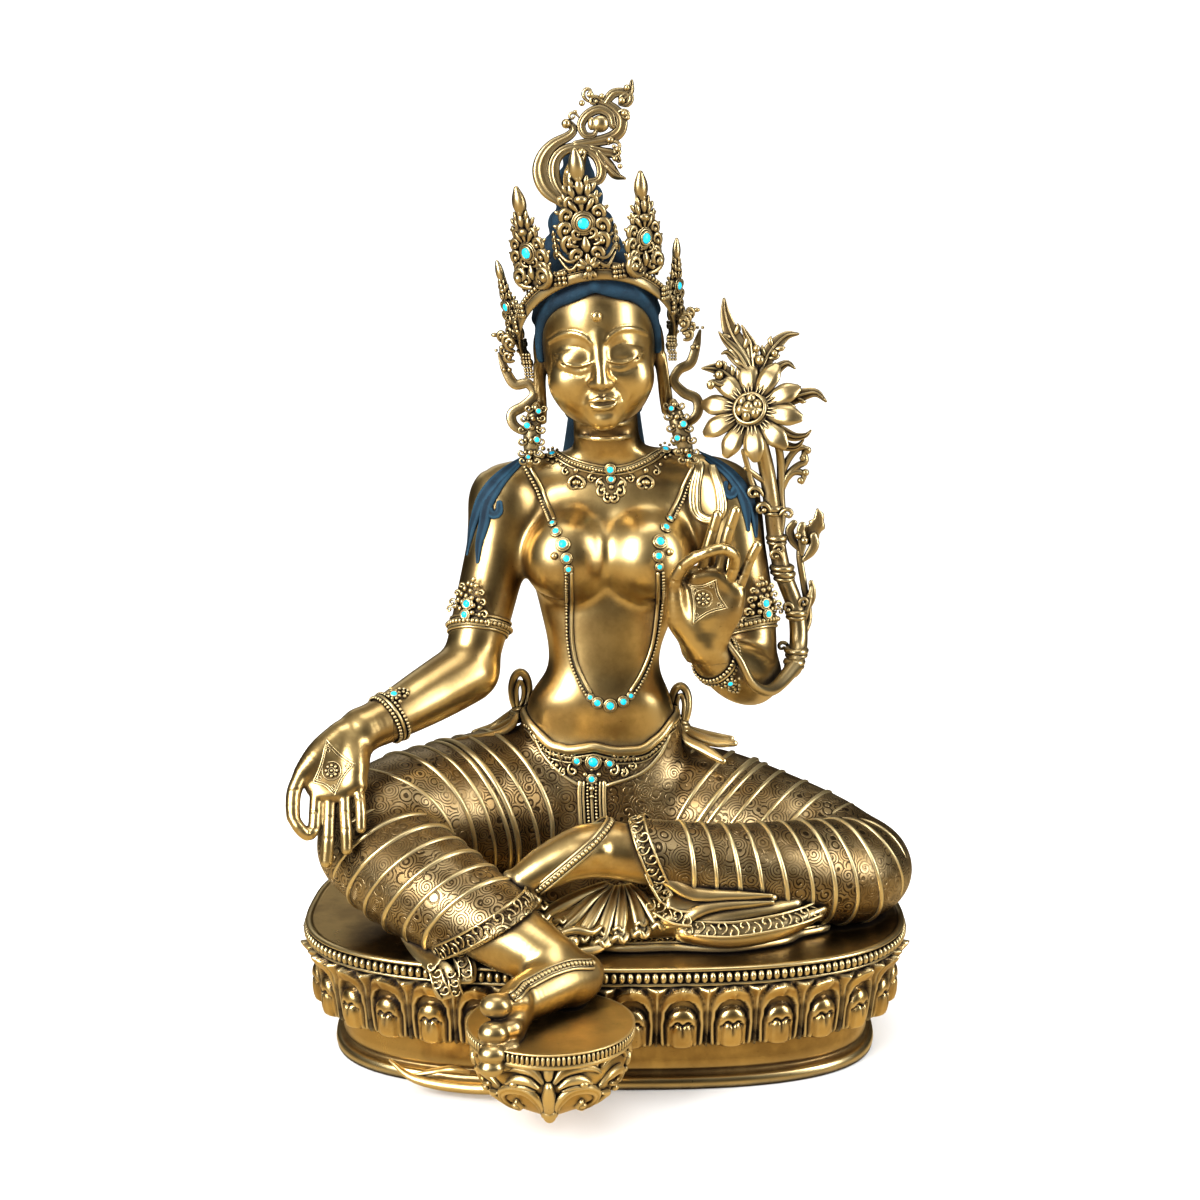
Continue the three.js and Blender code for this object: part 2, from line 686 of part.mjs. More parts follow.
// An ear ornament: a jewelled drop with a fluttering ribbon, drawn in one upright plane
function earring(side) {
  const right = side < 0;
  const flat = (route, y, steps, sides) => limb(route.map(([x, z, r]) => [x, y, z, r]), { sides, steps });
  const ribbon = right
    ? [[-66, 349, 1.5], [-61, 338, 3], [-56, 331, 2.8], [-48, 331, 2.8], [-44, 325, 2.8], [-50, 318, 2.8], [-58, 313, 2.8], [-57, 306, 2.8], [-50, 302, 2.8], [-44, 304, 3]]
    : [[59, 364, 1.5], [56, 352, 3], [53, 344, 2.8], [46, 340, 2.8], [43, 333, 2.8], [49, 326, 2.8], [57, 322, 2.8], [58, 314, 2.8], [53, 308, 2.8], [46, 309, 3]];
  const drop = right
    ? [[-42, 316, 4], [-45, 307, 6.5], [-45, 297, 7], [-46, 287, 4.5], [-47, 280, 2]]
    : [[42, 318, 4], [45, 308, 6.5], [48, 298, 7], [51, 288, 4.5], [53, 281, 2]];
  return join([flat(ribbon, 5, 11, 4), flat(drop, 0, 4, 6)]);
}

// The lotus spray: a jointed stalk from the hand, round the elbow, up to the open flower
const flowerCentre = [90, -16, 315];
const flowerFacing = new THREE.Vector3(-0.35, -0.88, 0.32).normalize();
const flowerRadius = 33;
const flowerPetals = 10;
const firstPetal = 28;
const stalkSteps = 9;

function flower() {
  const across = new THREE.Vector3().crossVectors(upward, flowerFacing).normalize();
  const over = new THREE.Vector3().crossVectors(flowerFacing, across);
  const place = (r, angle, lift) =>
    new THREE.Vector3(...flowerCentre)
      .addScaledVector(across, r * Math.cos(angle))
      .addScaledVector(over, r * Math.sin(angle))
      .addScaledVector(flowerFacing, lift)
      .toArray();
  const petals = Array.from({ length: flowerPetals }, (_, k) => {
    const angle = THREE.MathUtils.degToRad(firstPetal) + (k / flowerPetals) * 2 * Math.PI;
    const station = (share, lift, width, depth) => [...place(flowerRadius * share, angle, lift), width, depth];
    const blade = [station(0.24, 0, 2.6, 2.4), station(0.74, 1, 6.8, 3), station(1, -3, 3.4, 1.6)];
    return limb(blade, { sides: 4, steps: 2, facing: flowerFacing });
  });
  return join([...petals, lump(place(0, 0, 4), [12.5])]);
}

function lotusSpray() {
  const joints = (t) => (Math.round(t * stalkSteps) % 3 === 0 ? 1.6 : 0);
  const leaf = (stations) => limb(stations, { sides: 4, steps: 2 });
  const twig = (stations) => limb(stations, { sides: 4, steps: 3 });
  return join([
    limb(
      [[74.5, -55, 188, 2.2], [76, -57, 180, 2.4], [81, -59, 168, 2.8], [88, -57, 153, 3], [97, -48, 146, 3.2], [106, -34, 146, 3.6], [119, -13, 156, 5.5]],
      { sides: 4, steps: 6 },
    ),
    limb(
      [[118, -14, 154, 6], [123, 1, 168, 5], [121.5, 5, 189, 5], [113, 9, 213, 4.6], [108, 9, 237, 5], [105, 6, 258, 4.6], [101, 3, 280, 4.4], [91, -13, 312, 4]],
      { sides: 4, steps: stalkSteps, shape: joints },
    ),
    twig([[120, 2, 166, 3], [130, 8, 182, 3], [127, 10, 204, 2.6], [124, 10, 222, 3], [130, 12, 234, 5], [136, 14, 245, 1.5]]),
    twig([[109, 8, 232, 3], [111, 8, 250, 2.4], [110, 7, 270, 2.4], [110, 2, 290, 2.4], [106, -8, 303, 2]]),
    twig([[110, 7, 266, 2.4], [116, 6, 276, 2.2], [124, 6, 281, 3], [123, 6, 290, 3]]),
    flower(),
    leaf([[90, -10, 330, 6, 4], [82, -6, 350, 10, 4], [76, -4, 366, 8, 3], [73, -4, 382, 1.2, 1.2]]),
    leaf([[94, -10, 330, 6, 4], [101, -5, 350, 7, 4], [109, -3, 361, 4, 3], [118, -2, 362, 1.2, 1.2]]),
    leaf([[94, -13, 314, 5, 4], [120, -10, 318, 6, 4], [131, -8, 325, 4, 3], [137, -8, 319, 1.2, 1.2]]),
    leaf([[84, -12, 328, 5, 4], [72, -10, 336, 7, 4], [62, -9, 341, 4, 3]]),
    leaf([[94, -11, 304, 4, 3], [112, -6, 296, 5, 3], [126, -6, 302, 1.2, 1.2]]),
  ]);
}

// All of the figure that its ornaments may touch, larger by grow where it cuts them
function body(grow = 0) {
  return join([torso(grow), head(grow), hair(grow), arms(grow), legs(grow), feet(grow), rightHand(grow), leftHand(grow)]);
}

// The seat fills everything below its top except the space over the footrest
function seat() {
  const ground = new THREE.BoxGeometry(4 * baseHalfLength, 4 * baseHalfLength, baseHeight);
  ground.translate(0, 0, baseHeight / 2 + clearance);
  const space = new THREE.BoxGeometry(3 * footrestRadius, 3 * footrestRadius, 3 * baseHeight);
  space.translate(footrestX, -baseHalfDepth - 1.5 * footrestRadius - 2, baseHeight);
  return solidOf(ground).subtract(solidOf(space));
}

function figure() {
  const whole = join([body(), clothOnSeat(), bow(-1), bow(1), plaques(), collar(), clasp()]);
  return cut(whole, [seat(), footrest(clearance), cabochon(beltStone, clearance)]);
}

const grownBody = body(clearance);
const pockets = crownStones.map((stone) => cabochon(stone, clearance));
const group = new THREE.Group();
group.add(meshOf("lotus_base", cut(lotusBase(), [footrest(clearance)]), gilt));
group.add(meshOf("footrest", footrest(), agedGilt));
group.add(meshOf("figure", figure(), gilt));
group.add(meshOf("crown", cut(crown(), [grownBody, ...pockets]), agedGilt));
group.add(meshOf("topknot_scroll", cut(topknotScroll(), [grownBody]), gilt));
group.add(meshOf("earring_right", cut(earring(-1), [grownBody]), agedGilt));
group.add(meshOf("earring_left", cut(earring(1), [grownBody]), agedGilt));
group.add(meshOf("lotus_spray", cut(lotusSpray(), [grownBody]), agedGilt));
for (const stone of [...crownStones, beltStone]) {
  group.add(meshOf(stone.name, cabochon(stone), turquoise));
}

export default group;
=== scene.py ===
# The finish of a seated Tara figure of gilt cast brass on its oval lotus base.
# Lengths are millimetres until a piece is made; the figure faces -Y, and left and right are its own.
import json
import math

import bpy
import numpy as np
from mathutils import Euler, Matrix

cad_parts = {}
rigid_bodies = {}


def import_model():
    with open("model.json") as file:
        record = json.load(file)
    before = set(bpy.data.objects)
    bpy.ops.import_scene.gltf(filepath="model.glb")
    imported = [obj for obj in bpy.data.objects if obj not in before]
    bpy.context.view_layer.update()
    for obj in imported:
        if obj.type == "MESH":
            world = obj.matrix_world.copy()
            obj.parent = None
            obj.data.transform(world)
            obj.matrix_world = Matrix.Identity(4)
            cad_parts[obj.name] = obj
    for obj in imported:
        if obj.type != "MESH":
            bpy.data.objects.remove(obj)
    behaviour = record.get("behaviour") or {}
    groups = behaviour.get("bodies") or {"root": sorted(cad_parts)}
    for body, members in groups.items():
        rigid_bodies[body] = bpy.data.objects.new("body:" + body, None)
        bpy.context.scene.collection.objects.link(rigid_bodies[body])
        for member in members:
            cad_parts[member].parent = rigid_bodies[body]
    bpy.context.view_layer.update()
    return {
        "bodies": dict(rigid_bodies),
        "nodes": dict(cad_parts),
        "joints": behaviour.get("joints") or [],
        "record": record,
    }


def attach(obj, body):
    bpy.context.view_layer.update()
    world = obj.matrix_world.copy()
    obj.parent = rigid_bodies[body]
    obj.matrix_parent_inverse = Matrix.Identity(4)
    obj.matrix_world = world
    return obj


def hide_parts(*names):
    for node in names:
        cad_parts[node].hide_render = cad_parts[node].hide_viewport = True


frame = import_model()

METRE = 0.001
FRONT = np.array([0.0, -1.0, 0.0])
UPWARD = np.array([0.0, 0.0, 1.0])
ACROSS = np.array([1.0, 0.0, 0.0])

# The oval base
BASE_HALF_LENGTH = 193.5
BASE_HALF_DEPTH = 130.5
BASE_SQUARENESS = 2.8
BASE_HEIGHT = 82.0
PETALS = 36
PETAL_FOOT = 28.5
PETAL_TIP = 70.0
BASE_SIDES = 240
BASE_BEADS = 226
PETAL_ROWS = 48
PETAL_COLUMNS = 28

# The footrest
PAD_CENTRE = np.array([-30.5, -165.0])
PAD_RADIUS = 48.0
PAD_TOP = 66.5
PAD_RIM = 6.5
PAD_SIDES = 144
PAD_BEADS = 104


# Vectors and smooth courses


def unit(vectors):
    vectors = np.asarray(vectors, float)
    return vectors / np.maximum(np.linalg.norm(vectors, axis=-1, keepdims=True), 1e-9)


def along(stations, places):
    """Rows of values on the smooth course through the stations, at places from 0 to 1."""
    rows = np.asarray(stations, float)
    if rows.ndim == 1:
        rows = rows[:, None]
    last = len(rows) - 1
    if last == 0:
        return np.repeat(rows, len(places), axis=0)
    padded = np.vstack([2 * rows[0] - rows[1], rows, 2 * rows[-1] - rows[-2]])
    spot = np.clip(np.asarray(places, float), 0, 1) * last
    first = np.minimum(spot.astype(int), last - 1)
    t = (spot - first)[:, None]
    a, b, c, d = (padded[first + i] for i in range(4))
    return 0.5 * (2 * b + (c - a) * t + (2 * a - 5 * b + 4 * c - d) * t**2 + (3 * b - a - 3 * c + d) * t**3)


def course(stations, step, closed=False):
    """Evenly spaced rows on a smooth course; the first three columns are its points."""
    rows = np.asarray(stations, float)
    if closed:
        rows = np.vstack([rows[-2:], rows, rows[:3]])
    fine = along(rows, np.linspace(0, 1, 24 * len(rows)))
    if closed:
        segments = len(rows) - 1
        ends = [2 / segments, (len(rows) - 3) / segments]
        fine = along(rows, np.linspace(*ends, 24 * len(rows)))
    reach = np.concatenate([[0], np.cumsum(np.linalg.norm(np.diff(fine[:, :3], axis=0), axis=1))])
    count = max(3, int(round(reach[-1] / step)) + 1)
    marks = np.linspace(0, reach[-1], count)
    return np.stack([np.interp(marks, reach, fine[:, i]) for i in range(fine.shape[1])], axis=1)


def scroll(start, heading, length, bend, final_bend, count=16):
    """A flat curve from start: heading in degrees, bend in degrees per mm, changing evenly to final_bend."""
    reach = np.linspace(0, length, count)
    turn = math.radians(heading) + np.radians(bend) * reach
    turn += np.radians(final_bend - bend) * reach**2 / (2 * length)
    middle = (turn[1:] + turn[:-1]) / 2
    pace = length / (count - 1)
    steps = np.stack([np.cos(middle), np.sin(middle)], axis=1) * pace
    return np.vstack([[0, 0], np.cumsum(steps, axis=0)]) + np.asarray(start, float)


class Frame:
    """A place with three directions: across, up and out of the work."""

    def __init__(self, place, out=FRONT, up=UPWARD):
        self.place = np.asarray(place, float)
        self.out = unit(out)
        self.across = unit(np.cross(up, self.out))
        self.up = np.cross(self.out, self.across)

    def at(self, across, up, out=0.0):
        across, up, out = np.broadcast_arrays(*(np.asarray(v, float)[..., None] for v in (across, up, out)))
        return self.place + across * self.across + up * self.up + out * self.out

    def moved(self, across, up, out=0.0):
        """The same directions from another place."""
        return Frame(self.at(across, up, out), self.out, self.up)


def full_turn(count):
    """Evenly spaced angles of a full circle, in radians."""
    return np.arange(count) * 2 * np.pi / count


def smoothstep(low, high, value):
    t = np.clip((value - low) / (high - low), 0, 1)
    return t * t * (3 - 2 * t)


# Meshes


def unit_ball(rounds=1):
    """Corners and triangles of a ball of radius 1."""
    gold = (1 + 5**0.5) / 2
    points = [(-1, gold, 0), (1, gold, 0), (-1, -gold, 0), (1, -gold, 0)]
    points += [(z, x, y) for x, y, z in points] + [(y, z, x) for x, y, z in points]
    points = [tuple(p) for p in unit(points)]
    corners = np.array(points)
    faces = []
    edge = np.min(np.linalg.norm(corners[0] - corners[1:], axis=1)) * 1.01
    for i in range(12):
        for j in range(i + 1, 12):
            for k in range(j + 1, 12):
                sides = [corners[i] - corners[j], corners[j] - corners[k], corners[k] - corners[i]]
                if max(np.linalg.norm(s) for s in sides) < edge:
                    turned = np.dot(np.cross(corners[j] - corners[i], corners[k] - corners[i]),
                                    corners[i]) < 0
                    faces.append((i, k, j) if turned else (i, j, k))
    for _ in range(rounds):
        middles = {}
        finer = []
        for face in faces:
            halves = []
            for a, b in zip(face, face[1:] + face[:1]):
                key = (min(a, b), max(a, b))
                if key not in middles:
                    middles[key] = len(points)
                    points.append(tuple(unit(np.add(points[a], points[b]))))
                halves.append(middles[key])
            (a, b, c), (x, y, z) = face, halves
            finer += [(a, x, z), (x, b, y), (z, y, c), (x, y, z)]
        faces = finer
    return np.array(points), np.array(faces)


BALLS = [unit_ball(rounds) for rounds in range(3)]

# Balls under this radius, in mm, have the fewest faces
SMALL_BALL = 1.45


class Cast:
    """Points and faces that become one piece."""

    def __init__(self):
        self.points = []
        self.quads = []
        self.triangles = []
        self.count = 0

    def add(self, points, quads=None, triangles=None):
        points = np.asarray(points, float).reshape(-1, 3)
        if quads is not None:
            self.quads.append(np.asarray(quads) + self.count)
        if triangles is not None:
            self.triangles.append(np.asarray(triangles) + self.count)
        self.points.append(points)
        self.count += len(points)

    def rings(self, rings, ends=True):
        """A closed skin through rings of points, each ring turning to the right of the way forward."""
        rings = np.asarray(rings, float)
        levels, sides = rings.shape[:2]
        k = np.arange(sides)
        base = (np.arange(levels - 1) * sides)[:, None]
        low, high = base + k, base + (k + 1) % sides
        quads = np.stack([low, high, high + sides, low + sides], axis=-1).reshape(-1, 4)
        points = rings.reshape(-1, 3)
        if not ends:
            last = (levels - 1) * sides
            seam = np.stack([last + k, last + (k + 1) % sides, (k + 1) % sides, k], axis=-1)
            self.add(points, np.vstack([quads, seam]))
            return
        total = len(points)
        points = np.vstack([points, rings[0].mean(axis=0), rings[-1].mean(axis=0)])
        last = (levels - 1) * sides
        start = np.stack([np.full(sides, total), (k + 1) % sides, k], axis=-1)
        end = np.stack([np.full(sides, total + 1), last + k, last + (k + 1) % sides], axis=-1)
        self.add(points, quads, np.vstack([start, end]))

    def balls(self, centres, sizes, axes=None, detail=1):
        """Balls or ellipsoids: centres, half sizes (one number or three each) and, if turned, their axes."""
        centres = np.asarray(centres, float).reshape(-1, 3)
        sizes = np.asarray(sizes, float)
        corners, faces = BALLS[0 if sizes.max() < SMALL_BALL else detail]
        if sizes.ndim == 1 and len(sizes) == len(centres) and len(centres) != 3:
            sizes = sizes[:, None]
        sizes = np.broadcast_to(sizes, (len(centres), 3))
        shaped = corners[None] * sizes[:, None]
        if axes is not None:
            axes = np.broadcast_to(np.asarray(axes, float), (len(centres), 3, 3))
            shaped = np.einsum("nki,nij->nkj", shaped, axes)
        points = shaped + centres[:, None]
        offsets = (np.arange(len(centres)) * len(corners))[:, None, None]
        self.add(points.reshape(-1, 3), triangles=(faces[None] + offsets).reshape(-1, 3))


def frames_along(points, face, closed=False):
    """Across and out directions at each point of a route."""
    if closed:
        forward = unit(np.roll(points, -1, axis=0) - np.roll(points, 1, axis=0))
    else:
        forward = unit(np.gradient(points, axis=0))
    if face is None:
        start = np.cross(forward[0], UPWARD)
        if np.linalg.norm(start) < 0.2:
            start = np.cross(forward[0], ACROSS)
        out = [unit(start)]
        for direction in forward[1:]:
            out.append(unit(out[-1] - np.dot(out[-1], direction) * direction))
        out = np.array(out)
    else:
        face = np.broadcast_to(np.asarray(face, float), points.shape)
        out = unit(face - np.sum(face * forward, axis=1, keepdims=True) * forward)
    return forward, np.cross(out, forward), out


# The two rings that round off a moulding's end, as angles from its last section
ROUND_END = np.radians([78, 45])


def sweep(cast, route, width, depth=None, face=None, sides=8, step=None, ribs=0, rib_depth=0.35,
          scallops=0, scallop_depth=0.3, cup=0.0, round_ends=True, closed=False):
    """A moulding along a route. Width and depth are half sizes, a number or values spread along it.
    Ribs run lengthwise on its face, scallops notch its edges, and cup lifts its edges towards the face.
    A route of six columns carries its own face directions."""
    widths = np.atleast_1d(np.asarray(width, float))
    depths = widths if depth is None else np.atleast_1d(np.asarray(depth, float))
    rows = course(route, step or max(0.6, float(widths.max()) * 0.9), closed)
    if closed:
        rows = rows[:-1]
    points = rows[:, :3]
    if rows.shape[1] == 6:
        face = rows[:, 3:]
    forward, across, out = frames_along(points, face, closed)
    t = np.linspace(0, 1, len(points))
    notch = (0.5 + 0.5 * np.cos(2 * np.pi * scallops * t)) * (scallops > 0)
    w = along(widths, t)[:, 0] * (1 - scallop_depth * notch)
    d = along(depths, t)[:, 0]
    shift = np.zeros(len(points))
    if round_ends and not closed:
        for end, sign, lean in ((0, -1, ROUND_END), (-1, 1, ROUND_END[::-1])):
            narrow = np.cos(lean)
            tips = (w[end] * narrow, d[end] * narrow, sign * min(w[end], d[end]) * np.sin(lean))
            spot = len(w) if end else 0
            w, d, shift = (np.insert(values, spot, tip) for values, tip in zip((w, d, shift), tips))
            points, forward, across, out = (
                np.insert(rows, spot, np.repeat(rows[end][None], 2, axis=0), axis=0)
                for rows in (points, forward, across, out)
            )
    angle = full_turn(sides)
    side = np.cos(angle)
    rise = np.sin(angle)
    if ribs:
        groove = 0.5 + 0.5 * np.cos(np.pi * ribs * (side + 1))
        rise = rise * (1 - rib_depth * groove * (rise > 0))
    rings = (
        (points + forward * shift[:, None])[:, None]
        + across[:, None] * (w[:, None] * side)[..., None]
        + out[:, None] * (d[:, None] * rise + cup * w[:, None] * side**2)[..., None]
    )
    cast.rings(rings, ends=not closed)


def hoop(cast, frame, radius, thickness, **options):
    """A round ring lying on its frame's face."""
    angles = np.radians(np.arange(0, 360, 45))
    route = frame.at(radius * np.cos(angles), radius * np.sin(angles))
    sweep(cast, route, thickness, face=frame.out, closed=True, sides=options.pop("sides", 6),
          step=options.pop("step", max(0.5, radius * 0.35)), round_ends=False, **options)


def bead_row(cast, route, radius, pitch=2.0, closed=False, detail=0):
    """Beads along a route, pitch radii apart."""
    points = course(route, radius * pitch, closed)[:, :3]
    if closed:
        points = points[:-1]
    forward, across, out = frames_along(points, None, closed)
    axes = np.stack([forward, across, out], axis=1)
    cast.balls(points, radius, axes, detail)


STONES = Cast()


def set_stone(cast, frame, radius, rims=2):
    """A cabochon in a stepped collet; all cabochons go into one cast of their own."""
    hoop(cast, frame.moved(0, 0, 0.2 * radius), radius * 1.12, radius * 0.26)
    if rims > 1:
        hoop(cast, frame.moved(0, 0, -0.15 * radius), radius * 1.52, radius * 0.3)
    axes = np.stack([frame.across, frame.up, frame.out])
    cast.balls(frame.at(0, 0, -0.3 * radius), [radius * 1.45, radius * 1.45, radius * 0.7], axes, 1)
    STONES.balls(frame.at(0, 0, 0.12 * radius), [radius, radius, radius * 0.62], axes, 2)


def added(name, data):
    """An object of the scene, made from its data."""
    made = bpy.data.objects.new(name, data)
    bpy.context.scene.collection.objects.link(made)
    return made


def piece(name, cast, finish, replaces=()):
    """Turns a cast into a piece of the object, in metres."""
    points = np.concatenate(cast.points) * METRE
    quads = np.concatenate(cast.quads) if cast.quads else np.zeros((0, 4), int)
    triangles = np.concatenate(cast.triangles) if cast.triangles else np.zeros((0, 3), int)
    corners = np.concatenate([quads.ravel(), triangles.ravel()])
    sizes = np.concatenate([np.full(len(quads), 4), np.full(len(triangles), 3)])
    mesh = bpy.data.meshes.new(name)
    mesh.vertices.add(len(points))
    mesh.vertices.foreach_set("co", points.astype(np.float32).ravel())
    mesh.loops.add(len(corners))
    mesh.loops.foreach_set("vertex_index", corners.astype(np.int32))
    mesh.polygons.add(len(sizes))
    starts = np.concatenate([[0], np.cumsum(sizes)[:-1]])
    mesh.polygons.foreach_set("loop_start", starts.astype(np.int32))
    mesh.polygons.foreach_set("loop_total", sizes.astype(np.int32))
    mesh.update(calc_edges=True)
    mesh.polygons.foreach_set("use_smooth", np.full(len(sizes), True))
    mesh.materials.append(finish)
    made = added(name, mesh)
    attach(made, "root")
    if replaces:
        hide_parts(*replaces)
    print(name, 2 * len(quads) + len(triangles), "triangles")


# Finishes


class Shade:
    """A socket of a finish; arithmetic on it adds Math nodes."""

    def __init__(self, finish, socket):
        self.finish = finish
        self.socket = socket

    def _math(self, operation, *values):
        return self.finish.node("Math", {"operation": operation}, *values)

    def __add__(self, other):
        return self._math("ADD", self, other)

    __radd__ = __add__

    def __sub__(self, other):
        return self._math("SUBTRACT", self, other)

    def __rsub__(self, other):
        return self._math("SUBTRACT", other, self)

    def __mul__(self, other):
        return self._math("MULTIPLY", self, other)

    __rmul__ = __mul__

    def sine(self):
        return self._math("SINE", self)

    def least(self, other):
        return self._math("MINIMUM", self, other)

    def between(self, low, high):
        """0 below low, 1 above high, smooth between."""
        return self.finish.node(
            "MapRange", {"interpolation_type": "SMOOTHSTEP"},
            **{"Value": self, "From Min": low, "From Max": high},
        )


class Nodes:
    """A tree of shader nodes, started afresh."""

    def __init__(self, tree):
        self.tree = tree
        tree.nodes.clear()

    def node(self, kind, settings=None, *values, output=None, **sockets):
        """A node of a kind: settings come first, then its sockets, in order or by name."""
        node = self.tree.nodes.new("ShaderNode" + kind)
        settings = dict(settings or {})
        stops = settings.pop("stops", ())
        for name, value in settings.items():
            setattr(node, name, value)
        for _ in stops[2:]:
            node.color_ramp.elements.new(0.5)
        for i, (place, colour) in enumerate(stops):
            node.color_ramp.elements[i].position = place
            node.color_ramp.elements[i].color = colour
        shown = [socket for socket in node.inputs if socket.enabled]
        named = {socket.name: socket for socket in reversed(shown)}
        for key, value in [*enumerate(values), *sockets.items()]:
            socket = named[key] if key in named else node.inputs[key]
            if isinstance(value, Shade):
                self.tree.links.new(value.socket, socket)
            else:
                socket.default_value = value
        if output is not None:
            return Shade(self, node.outputs[output])
        shown = [socket for socket in node.outputs if socket.enabled]
        return Shade(self, shown[0]) if shown else None


class Finish(Nodes):
    """A procedural material."""

    def __init__(self, name):
        self.material = bpy.data.materials.new(name)
        self.material.use_nodes = True
        super().__init__(self.material.node_tree)
        self.place = self.node("TexCoord", output="Object")

    def noise(self, scale, detail=4.0, roughness=0.6, place=None):
        """Uneven values about 0.5; scale is features per metre."""
        return self.node("TexNoise", None, output="Fac", Vector=place or self.place,
                         Scale=scale, Detail=detail, Roughness=roughness)

    def blend(self, share, first, second):
        """A colour from first to second."""
        return self.node("Mix", {"data_type": "RGBA"}, **{"Factor": share, "A": first, "B": second})

    def bump(self, height, distance, strength=1.0, normal=None):
        under = {} if normal is None else {"Normal": normal}
        return self.node("Bump", None, Height=height, Distance=distance, Strength=strength, **under)

    def surface(self, **sockets):
        shader = self.node("BsdfPrincipled", None, **sockets)
        self.node("OutputMaterial", None, Surface=shader)
        return self.material


def tone(red, green, blue):
    return (red, green, blue, 1.0)


POLISHED = tone(0.73, 0.545, 0.25)
SILVERED = tone(0.66, 0.52, 0.3)
TARNISHED = tone(0.27, 0.185, 0.085)
# Pale gold for worn edges, painted on them as a highlight too
PALE_WEAR_AND_HIGHLIGHT = tone(0.98, 0.82, 0.47)
DULL = tone(0.34, 0.215, 0.085)
# Brown for the painted shade in broad hollows
UMBER_SHADE = tone(0.11, 0.062, 0.024)
# Near black for soot, pits and engraved lines, and for the painted shade in recesses
SOOT_AND_SHADE = tone(0.014, 0.008, 0.006)


def gilding(name, recess_soot_and_shade=1.0, reach=5.0, shine=0.22, mottle=0.5, chasing=None, deep=0.42, dullness=0.0,
            bright=POLISHED, dull=DULL, wear_and_highlight=0.75):
    """Aged gilding: worn on the edges and painted pale there as a highlight, dull in patches, sooty in the
    recesses and painted dark there as shade, with a brown painted shade in broad hollows.
    The second argument is how dark the recesses are painted, soot and shade together; reach is how far that
    spreads in mm."""
    f = Finish(name)
    cloud = f.noise(22.0, 5.0, 0.62)
    speck = f.noise(420.0, 3.0, 0.7)
    streak = f.noise(1.0, 4.0, 0.6, f.node("Mapping", None, Vector=f.place, Scale=(90.0, 90.0, 26.0)))
    crevice = f.node("AmbientOcclusion", {"samples": 6}, output="AO", Distance=reach * METRE)
    shelter = f.node("AmbientOcclusion", {"samples": 5}, output="AO", Distance=4.5 * reach * METRE)
    # Wear and a painted highlight: the sharpest edges are painted pale gold
    worn_and_highlit_edges = f.node("NewGeometry", None, output="Pointiness").between(0.5, 0.56)
    # Soot and painted shade: recesses close to other surfaces are darkened towards black by ambient occlusion
    soot_and_shade = (1 - crevice.between(deep, 0.96)) * recess_soot_and_shade
    soot_and_shade = (soot_and_shade * (0.7 + 0.6 * streak)).least(1.0)
    # Painted shade: broad hollows are darkened to brown by wide ambient occlusion
    broad_shade = (1 - shelter.between(0.45, 0.97)) * (0.45 + streak)
    pits = (speck.between(0.64, 0.74) * cloud.between(0.45, 0.66)) * 0.7
    patches = (cloud.between(0.4, 0.62) * mottle + dullness).least(1.0)
    colour = f.blend(patches, bright, dull)
    colour = f.blend((broad_shade * 0.9).least(0.92), colour, UMBER_SHADE)
    colour = f.blend(worn_and_highlit_edges * wear_and_highlight, colour, PALE_WEAR_AND_HIGHLIGHT)
    colour = f.blend((soot_and_shade + pits).least(1.0), colour, SOOT_AND_SHADE)
    height = streak * 0.25 + speck * 0.1
    normal = f.bump(height, 0.25 * METRE, 0.35)
    if chasing is not None:
        engraved = chasing(f)
        colour = f.blend((engraved * 0.8).least(1.0), colour, SOOT_AND_SHADE)
        normal = f.bump(1 - engraved, 0.5 * METRE, 0.9, normal)
    rough = (shine + cloud * 0.12 + streak * 0.08 + soot_and_shade * 0.3).least(0.8)
    return f.surface(**{"Base Color": colour, "Metallic": 1 - soot_and_shade * 0.55, "Roughness": rough,
                        "Normal": normal})


def swirl_chasing(pitch, cell):
    """Engraved rings that crowd against each other, as scrollwork does from a step away."""
    def chase(f):
        middle = f.node("TexVoronoi", {"feature": "F1"}, output="Position", Vector=f.place,
                        Scale=1 / (cell * METRE))
        centres = f.node("TexVoronoi", {"feature": "F1"}, output="Distance", Vector=f.place,
                         Scale=1 / (cell * METRE))
        offset = f.node("VectorMath", {"operation": "SUBTRACT"}, f.place, middle)
        side = f.node("SeparateXYZ", None, offset, output="X")
        rise = f.node("SeparateXYZ", None, offset, output="Z")
        turn = f.node("Math", {"operation": "ARCTAN2"}, rise, side)
        lines = (centres * (2 * math.pi * cell / pitch) + turn).sine()
        return lines.between(0.1, 0.8) * (0.35 + 0.65 * f.noise(26.0, 2.0).between(0.4, 0.56))
    return chase


def turquoise_finish():
    f = Finish("turquoise_stone")
    cloud = f.noise(300.0, 3.0)
    vein = f.noise(900.0, 2.0).between(0.66, 0.72)
    colour = f.blend(cloud.between(0.35, 0.7), tone(0.0, 0.46, 0.74), tone(0.02, 0.60, 0.82))
    colour = f.blend(vein * 0.5, colour, tone(0.01, 0.13, 0.2))
    return f.surface(**{"Base Color": colour, "Roughness": 0.22 + cloud * 0.15, "IOR": 1.55})


